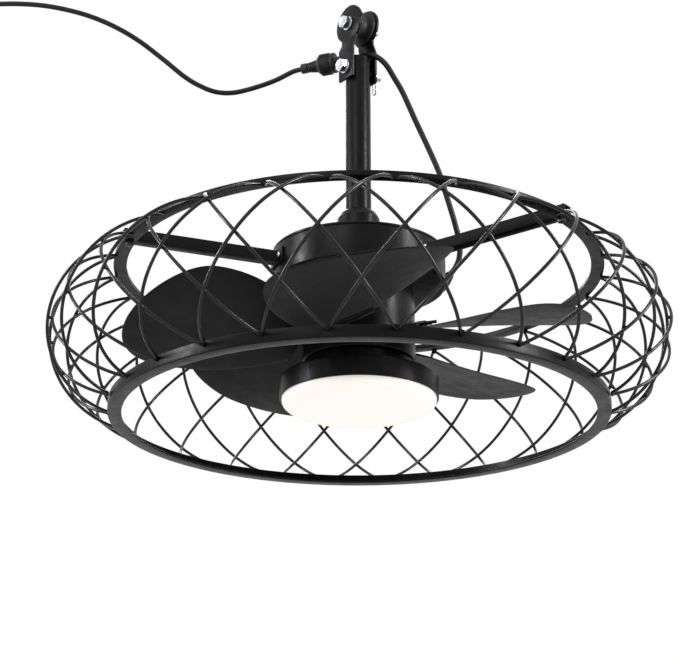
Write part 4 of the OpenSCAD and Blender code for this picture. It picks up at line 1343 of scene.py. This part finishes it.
@dataclass
class Drum(Assembly):
    """Fixed motor drum with its lid, screws and cable gland.

    Attributes:
        radius: Outer radius.
        bore: Radius of the hole round the axle.
        top: Height of the lid's top.
        seam: Height of the seam under the lid.
        bottom: Height of the floor.
        wall: Wall of the drum.
        lid_screw_r: Radius of the circle of lid screws.
        lid_screw_phase: Angle of the first lid screw.
        gland_at: Mouth of the gland.
        gland_tilt: Angle of the gland above the horizon.
        gland_angle: Direction of the gland.
    """

    radius: float = 89.0
    bore: float = 7.1
    top: float = -264.0
    seam: float = -267.0
    bottom: float = -301.0
    wall: float = 2.5
    lid_screw_r: float = 75.0
    lid_screw_phase: float = 105.0
    gland_at: Point = (85.0, -45.0, -280.0)
    gland_tilt: float = 55.0
    gland_angle: float = -29.0

    def build(self) -> None:
        """Make the drum."""
        shop, r, w, brim = self.shop, self.radius, self.wall, self.seam - 0.1
        shell = [(self.bore, self.bottom), (r, self.bottom, 2.4), (r, brim, 1.4), (r - w, brim),
                 (r - w, self.bottom + w, 1.0), (self.bore, self.bottom + w)]
        shop.add("drum_shell", turned(shell, 192, round_steps=5), PAINT, "motor_housing")
        lid = [(self.bore, self.seam), (r, self.seam, 1.1), (r, self.top, 1.3), (self.bore, self.top)]
        shop.add("drum_lid", turned(lid, 192, round_steps=4), PAINT, "motor_top_cover")
        spots = [(polar(self.lid_screw_r, self.lid_screw_phase + 120 * k, self.top), UP) for k in range(3)]
        shop.spread("lid_screws", pan_head(3.0, 1.8), spots, ZINC, ["cover_screws"])
        self.gland()
        shop.dress(STEEL, "motor_shaft", "stator_core")
        shop.dress(COPPER, "stator_windings")
        shop.dress(BOARD, "circuit_board")

    def gland(self) -> None:
        """Cable gland: a straight foot, a groove and a tapered mouth, its inner end in the drum's wall."""
        place = shift(*self.gland_at) @ spin(self.gland_angle) @ spin(90 - self.gland_tilt, "Y")
        solid = turned([(0, -19.0), (6, -19.0), (6, -8.4, 0.4), (5.3, -8.2), (5.3, -7.6), (5.6, -7.4, 0.3),
                        (4.9, -3, 0.4), (4.2, 0, 0.5), (0, 0)], 56).moved(place)
        inside = self.radius - 1.2
        for p in solid.points:
            out = max(1.0, inside / math.hypot(p.x, p.y))
            p.x, p.y = p.x * out, p.y * out
        self.shop.add("gland_body", solid, MOULDED, "cable_gland")


@dataclass
class Rotor(Assembly):
    """Turning hub with its cover, bearings and magnets.

    Attributes:
        radius: Outer radius of the hub.
        bore: Radius of the hole round the bearings.
        wall: Wall of the hub.
        top: Height of the top cover.
        seam: Height of the seam under the cover.
        bottom: Height of the hub's floor.
    """

    radius: float = 57.0
    bore: float = 16.1
    wall: float = 3.0
    top: float = -302.5
    seam: float = -305.5
    bottom: float = -383.0

    def build(self) -> None:
        """Make the hub."""
        shop, r, w, foot = self.shop, self.radius, self.wall, self.seam + HAIR
        hub = [(self.bore, self.bottom), (r, self.bottom, 2.2), (r, self.seam, 0.5), (r - w, self.seam),
               (r - w, self.bottom + w, 1), (self.bore, self.bottom + w)]
        shop.add("hub_shell", turned(hub, 160, round_steps=5), PAINT, "blade_hub", Body.ROTOR)
        cover = [(self.bore, foot), (r, foot, 0.5), (r, self.top, 1.0), (self.bore, self.top)]
        shop.add("hub_cover", turned(cover, 160, round_steps=4), PAINT, "hub_top_cover", Body.ROTOR)
        shop.dress(STEEL, "upper_bearing", "lower_bearing")
        shop.dress(MAGNET, "rotor_magnets")
        shop.dress(ZINC, "blade_screws")


@dataclass
class Blade(Assembly):
    """One petal blade: a thin curved skin with a rounded rim and a bevelled root block.

    Attributes:
        number: Which blade, from 0.
        root: Radius at the root.
        tip: Radius at the tip.
        width: Greatest width.
        root_width: Width at the root.
        thick: Thickness.
        root_pitch: Pitch at the root.
        tip_pitch: Pitch at the tip.
        sweep: How far the blade trails.
        bow: Linear and square terms of that trail along its length, as shares of the sweep.
        camber: Rise of its arch.
        droop: Drop of its tip.
        widest: Where it is widest, as a share of its length.
        height: Height of its middle.
        phase: Angle of the first blade.
        spacing: Angle between two blades.
        inner_rows: Share of the rows that lie inside the widest place.
        last: Share of the length at which the last row lies.
        thin_end: Share of the rows over which the tip thins out.
        rim: Share of the thickness that is left beside the rim.
        blunt: Exponent that says how late the rim rounds off.
        block_turn: Turn of the root block about Z.
        block_r: Radius at which the root block stands.
        block_drop: How far it stands below the blade's middle.
        rows: Rows along the blade.
        cols: Columns across it.
    """

    number: int
    root: float = 52.0
    tip: float = 236.0
    width: float = 183.0
    root_width: float = 68.0
    thick: float = 2.6
    root_pitch: float = 24.0
    tip_pitch: float = 13.0
    sweep: float = 29.0
    bow: Point = (-0.45, 0.57)
    camber: float = 6.0
    droop: float = 4.5
    widest: float = 0.7
    height: float = -341.0
    phase: float = 25.6
    spacing: float = 72.0
    inner_rows: float = 0.62
    last: float = 0.998
    thin_end: float = 0.03
    rim: float = 0.35
    blunt: int = 14
    block_turn: float = -12.0
    block_r: float = 55.0
    block_drop: float = 10.0
    rows: int = 64
    cols: int = 44

    def half(self, s: float) -> float:
        """Half the blade's width.

        Args:
            s: Share of its length.

        Returns:
            Half the width there.
        """
        if s < self.widest:
            grown = math.sin(math.pi / 2 * s / self.widest)
            return self.root_width / 2 + (self.width - self.root_width) / 2 * grown
        return self.width / 2 * math.sqrt(max(0.0, 1 - ((s - self.widest) / (1 - self.widest)) ** 2))

    def share(self, t: float) -> float:
        """Share of the blade's length at which a row lies; the rows lie closer towards the tip.

        Args:
            t: Share of the rows.

        Returns:
            Share of the length.
        """
        k = self.inner_rows
        if t < k:
            return self.widest * t / k
        return self.widest + (self.last - self.widest) * math.sin(math.pi / 2 * (t - k) / (1 - k))

    def surface(self, s: float, c: float, lift: float) -> Vector:
        """Point on the blade.

        Args:
            s: Share of its length.
            c: Place across it, in millimetres.
            lift: Height above its middle surface.

        Returns:
            The point, in millimetres.
        """
        b = math.radians(self.root_pitch + (self.tip_pitch - self.root_pitch) * s)
        sunk = self.camber * (1 - (2 * c / self.width) ** 2) + self.droop * s
        z = c * math.sin(b) - sunk + lift + self.height
        return Vector((self.root + (self.tip - self.root) * s, c * math.cos(b), z))

    def skin(self) -> Solid:
        """Closed skin of the blade, its rim rounded.

        Returns:
            The skin.
        """
        solid = Solid()
        row = self.cols + 1
        first, second = self.bow
        for side in (1, -1):
            for i in range(self.rows + 1):
                t = i / self.rows
                s = self.share(t)
                middle = self.sweep * (-1 + first * s + second * s * s)
                end = min(1.0, (1.0 - t) / self.thin_end)
                for j in range(row):
                    edge = -math.cos(math.pi * j / self.cols)
                    full = math.sqrt(max(0.0, 1 - edge**self.blunt)) * math.sqrt(max(0.0, 1 - (1 - end) ** 2))
                    crown = self.rim + (1 - self.rim) * math.sqrt(max(0.0, 1 - edge * edge))
                    lift = side * self.thick / 2 * crown * full
                    solid.points.append(self.surface(s, middle + self.half(s) * edge, lift))
        base = (self.rows + 1) * row
        for i in range(self.rows):
            for j in range(self.cols):
                a = i * row + j
                solid.faces.append((a, a + row, a + row + 1, a + 1))
                solid.faces.append((base + a, base + a + 1, base + a + row + 1, base + a + row))
        rim = [*range(row), *(i * row + self.cols for i in range(1, self.rows + 1))]
        rim += [self.rows * row + j for j in range(self.cols - 1, -1, -1)]
        rim += [i * row for i in range(self.rows - 1, 0, -1)]
        for a, b in zip(rim, rim[1:] + rim[:1]):
            solid.faces.append((a, b, b + base, a + base))
        return solid

    def block(self) -> Solid:
        """Root block that carries the blade on the hub, with two stiffening ribs.

        Returns:
            The block.
        """
        solid = slab(rounded([(2.4, -18, 0.8), (13, -18, 2.5), (13, 18, 2.5), (2.4, 18, 0.8)], 4), -6, 4, 0.8)
        for y in (-8.0, 8.0):
            solid += slab([(12.5, y - 1.2), (26, y - 0.6), (26, y + 0.6), (12.5, y + 1.2)], 0.2, 3.4, 0.3)
        place = shift(self.block_r, 0, self.height - self.block_drop)
        return solid.moved(spin(self.block_turn) @ place @ spin(self.root_pitch, "X"))

    def build(self) -> None:
        """Make the blade."""
        solid = (self.skin() + self.block()).moved(spin(self.phase + self.spacing * self.number))
        name = f"blade_{self.number + 1}"
        self.shop.add("petal_" + name, solid, BLADE, name, Body.ROTOR, 48.0)


@dataclass
class Lamp(Assembly):
    """Lamp under the hub: bracket, housing and frosted diffuser.

    Attributes:
        bracket_r: Radius of the bracket.
        bracket_top: Height of the bracket's top.
        bracket_wall: Wall of the bracket.
        bore: Radius of the hole round the axle.
        top: Height of the housing's top.
        hole: Radius of the hole in that top.
        bottom: Height of the housing's rim.
        radius: Radius of the housing.
        wall: Wall of the housing and of the diffuser.
        diffuser_r: Radius of the diffuser.
        skirt: How far the diffuser reaches up into the housing.
        drop: How far the diffuser stands below the rim.
        curve: Exponent of the diffuser's flat dome.
    """

    bracket_r: float = 56.0
    bracket_top: float = -384.5
    bracket_wall: float = 3.0
    bore: float = 7.1
    top: float = -400.0
    hole: float = 12.0
    bottom: float = -421.0
    radius: float = 80.0
    wall: float = 2.0
    diffuser_r: float = 77.7
    skirt: float = 6.0
    drop: float = 13.5
    curve: float = 2 / 3

    def dome(self, inset: float) -> list[tuple[float, float]]:
        """Profile of the flat dome, from its rim to its middle.

        Args:
            inset: How far it lies inside the diffuser's outer face.

        Returns:
            Points (radius, height).
        """
        angles = [math.radians(3.0 * k) for k in range(30)]
        r, drop, k = self.diffuser_r - inset, self.drop - inset, self.curve
        return [(r * math.cos(a) ** k, self.bottom - drop * math.sin(a) ** k) for a in angles]

    def build(self) -> None:
        """Make the lamp."""
        shop, b, r, w = self.shop, self.bracket_r, self.radius, self.wall
        inner, under, foot = b - self.bracket_wall, self.bracket_top - self.bracket_wall, self.top + HAIR
        bracket = [(self.bore, under), (inner, under, 0.5), (inner, foot), (b, foot, 0.5),
                   (b, self.bracket_top, 1.4), (self.bore, self.bracket_top)]
        shop.add("lamp_carrier", turned(bracket, 160), PAINT, "lamp_bracket")
        housing = [(self.hole, self.top - w), (r - w, self.top - w, 1.2), (r - w, self.bottom, 0.4),
                   (r, self.bottom, 0.7), (r, self.top, 2.0), (self.hole, self.top)]
        shop.add("lamp_shell", turned(housing, 192, round_steps=5), PAINT, "lamp_housing")
        brim, low = self.bottom + self.skirt, self.bottom - self.drop
        profile = [(self.diffuser_r - w, brim), (self.diffuser_r, brim), *self.dome(0.0), (0, low),
                   (0, low + w), *self.dome(w)[::-1]]
        shop.add("frosted_dome", turned(profile, 192), DIFFUSER, "lamp_diffuser", sharp=60.0)
        shop.dress(LED_BOARD, "led_board")
        shop.dress(ZINC, "lamp_screws", "axle_nut")


@dataclass(frozen=True)
class Arc:
    """Arc that a cage wire follows.

    Attributes:
        radius: Its radius.
        half: Half the angle that it spans, in radians.
        lean: Its lean to one side, in radians.
        tip: How far its upper end tips inward, in radians.
        middle: Distance from the fan's axis to the middle of its chord.
        inset: Distance from the chord's middle to the arc's centre.
    """

    radius: float
    half: float
    lean: float
    tip: float
    middle: float
    inset: float


@dataclass
class Cage(Assembly):
    """Round wire cage: two rings, crossing wires with their welds, and three arms.

    Attributes:
        ring_r: Outer radius of both rings.
        ring_w: Width of the upper ring.
        angle_w: Width of the lower ring.
        angle_wall: Wall of the lower ring.
        upper: Lowest and highest height of the upper ring.
        lower: Lowest and highest height of the lower ring.
        count: Wires in each direction.
        phase: Angle of the first wire's foot.
        foot_r: Radius at which the wires meet the lower ring.
        tip_r: Radius at which the wires end under the upper ring.
        low: Height of their lower feet.
        high: Height of their upper ends.
        short: How far a wire's two ends fall short of two steps round the cage.
        reaches: Greatest radius of the rising and the falling wires.
        wire_r: Radius of the wires.
        arm_phase: Angle of the first arm.
        foot_screw_r: Radius at which the foot plates' screws stand.
        foot_screw_angle: Angle between an arm and each of its foot's screws.
        foot_screw_z: Height of these screws.
        ring_screw_r: Radius at which the arms are screwed to the upper ring.
        ring_screw_z: Height under the head of these screws.
        ring_nut_z: Height of the top of their nuts.
    """

    ring_r: float = 250.0
    ring_w: float = 13.5
    angle_w: float = 14.0
    angle_wall: float = 2.0
    upper: Point = (-288.0, -283.0)
    lower: Point = (-443.0, -431.0)
    count: int = 26
    phase: float = 4.5
    foot_r: float = 251.7
    tip_r: float = 248.8
    low: float = -434.0
    high: float = -289.7
    short: float = 1.0
    reaches: Point = (313.2, 308.8)
    wire_r: float = 1.65
    arm_phase: float = 45.0
    foot_screw_r: float = 91.7
    foot_screw_angle: float = 6.44
    foot_screw_z: float = -282.0
    ring_screw_r: float = 243.25
    ring_screw_z: float = -275.98
    ring_nut_z: float = -288.02

    @property
    def step(self) -> float:
        """Angle between two wires."""
        return 360 / self.count

    def arc(self, reach: float) -> Arc:
        """Arc of a wire, from the lower ring's edge to under the upper ring.

        Args:
            reach: Greatest radius of the wire.

        Returns:
            The arc.
        """
        sweep = math.radians(2 * self.step - self.short)
        across = 2 * self.foot_r * math.sin(sweep / 2)
        foot = self.foot_r * math.cos(sweep / 2)
        end = math.sqrt(self.tip_r**2 - across**2 / 4)
        rise = math.hypot(self.high - self.low, foot - end)
        chord, middle = math.hypot(across, rise) / 2, (foot + end) / 2
        bulge = reach - middle
        radius = (chord**2 + bulge**2) / (2 * bulge)
        half = math.asin(chord / radius)
        return Arc(radius, math.pi - half if bulge > radius else half, math.atan2(across, rise),
                   math.atan2(foot - end, self.high - self.low), middle, bulge - radius)

    def along(self, reach: float, share: float) -> Vector:
        """Point of a rising wire whose middle lies at angle 0.

        Args:
            reach: Greatest radius of the wire.
            share: From -1 at one foot to 1 at the other.

        Returns:
            The point, in millimetres.
        """
        arc = self.arc(reach)
        p = Vector((arc.radius * math.cos(arc.half * share), 0, arc.radius * math.sin(arc.half * share)))
        p = Matrix.Rotation(-arc.lean, 3, "X") @ p + Vector((arc.inset, 0, 0))
        return Matrix.Rotation(-arc.tip, 3, "Y") @ p + Vector((arc.middle, 0, (self.low + self.high) / 2))

    def share_at(self, degrees: float) -> float:
        """Share of a rising wire at which it lies a given angle from its middle.

        Args:
            degrees: The angle.

        Returns:
            The share, from -1 to 1.
        """
        low, high = -1.0, 1.0
        for _ in range(40):
            middle = (low + high) / 2
            p = self.along(self.reaches[0], middle)
            if math.degrees(math.atan2(p.y, p.x)) < degrees:
                low = middle
            else:
                high = middle
        return (low + high) / 2

    def build(self) -> None:
        """Make the cage."""
        shop, r, w, (a, b), (c, d) = self.shop, self.ring_r, self.angle_wall, self.upper, self.lower
        inner, lip = r - self.ring_w, r - self.angle_w
        ring = [(inner, a, 0.9), (r, a, 0.9), (r, b, 0.9), (inner, b, 0.9)]
        shop.add("upper_hoop", turned(ring, 288), PAINT, "upper_ring")
        angle = [(lip, c, 0.7), (r, c, 1.6), (r, d, 0.7), (r - w, d, 0.7), (r - w, c + w, 1.0),
                 (lip, c + w, 0.7)]
        shop.add("lower_hoop", turned(angle, 288), PAINT, "lower_ring")
        for name, way, reach in zip(("rising_wires", "falling_wires"), (1, -1), self.reaches):
            arc = self.arc(reach)
            wires = put(name, bpy.data.meshes.new(name))
            shop.wires.run(wires, Arc_Radius=arc.radius * MM, Half_Angle=arc.half, Inset=arc.inset * MM,
                           Tip=-arc.tip, Lean=math.pi / 2 - way * arc.lean, Middle_Radius=arc.middle * MM,
                           Middle_Height=(self.low + self.high) / 2 * MM, Wire_Radius=self.wire_r * MM,
                           Count=self.count, Phase=math.radians(self.phase + way * self.step),
                           Material=shop.finish(WIRE_PAINT))
            shop.settle(wires, WIRE_PAINT, [name + "_a", name + "_b"])
        self.welds()
        self.arms()

    def welds(self) -> None:
        """Weld beads where wires cross each other and where they meet the rings."""
        spots = []
        for turn in (-0.5, 0.0, 0.5):
            share = self.share_at(turn * self.step)
            out = (self.along(self.reaches[0], share) + self.along(self.reaches[1], share)) / 2
            flat = math.hypot(out.x, out.y)
            for k in range(self.count):
                here = self.phase + k * self.step + turn * self.step
                spots.append((polar(flat, here, out.z), polar(1, here)))
        self.shop.spread("crossing_welds", bead(1.9, 2.5), spots, WIRE_PAINT)
        feet = []
        for k in range(self.count):
            here = self.phase + k * self.step
            for r, z in ((self.foot_r + 0.3, self.low), (self.tip_r + 0.5, self.high + 0.6)):
                feet.append((polar(r, here, z), polar(1, here)))
        self.shop.spread("foot_welds", bead(3.0, 1.5), feet, PAINT)

    def arms(self) -> None:
        """Square arms with their foot plates, screws and nuts."""
        shop, turns = self.shop, [self.arm_phase + 120 * k for k in range(3)]
        for k in (1, 2, 3):
            shop.softened(f"arm_{k}", PAINT, 0.7)
        sides = [turn + side * self.foot_screw_angle for turn in turns for side in (-1, 1)]
        out = [(polar(self.foot_screw_r, a, self.foot_screw_z), polar(1, a)) for a in sides]
        shop.spread("foot_screws", pan_head(3.0, 1.8), out, ZINC, ["arm_housing_screws"])
        top = [(polar(self.ring_screw_r, turn, self.ring_screw_z), UP) for turn in turns]
        shop.spread("ring_screws", pan_head(5.0, 3.0), top, ZINC, ["arm_ring_screws"])
        nut = hexagon(4.5, 0, 4, 0.4) + turned([(0, 3.9), (2.5, 3.9), (2.5, 4.4, 0.4), (0, 4.4)], 24)
        under = [(polar(self.ring_screw_r, turn, self.ring_nut_z), Vector((0, 0, -1))) for turn in turns]
        shop.spread("ring_nuts", nut, under, DARK_ZINC, ["arm_ring_nuts"])


def main() -> None:
    """Build the scene: camera and cords first, then every sub-assembly in order."""
    logging.basicConfig(level=logging.INFO, format="%(name)s: %(message)s")
    shop = Shop()
    Studio().build()
    blades = [Blade(shop, k) for k in range(5)]
    for part in (Cords(shop), Connector(shop), Hanger(shop), Downrod(shop), Drum(shop), Rotor(shop), *blades,
                 Lamp(shop), Cage(shop)):
        part.build()
        LOG.info("%s built", type(part).__name__)


if __name__ == "__main__":
    main()
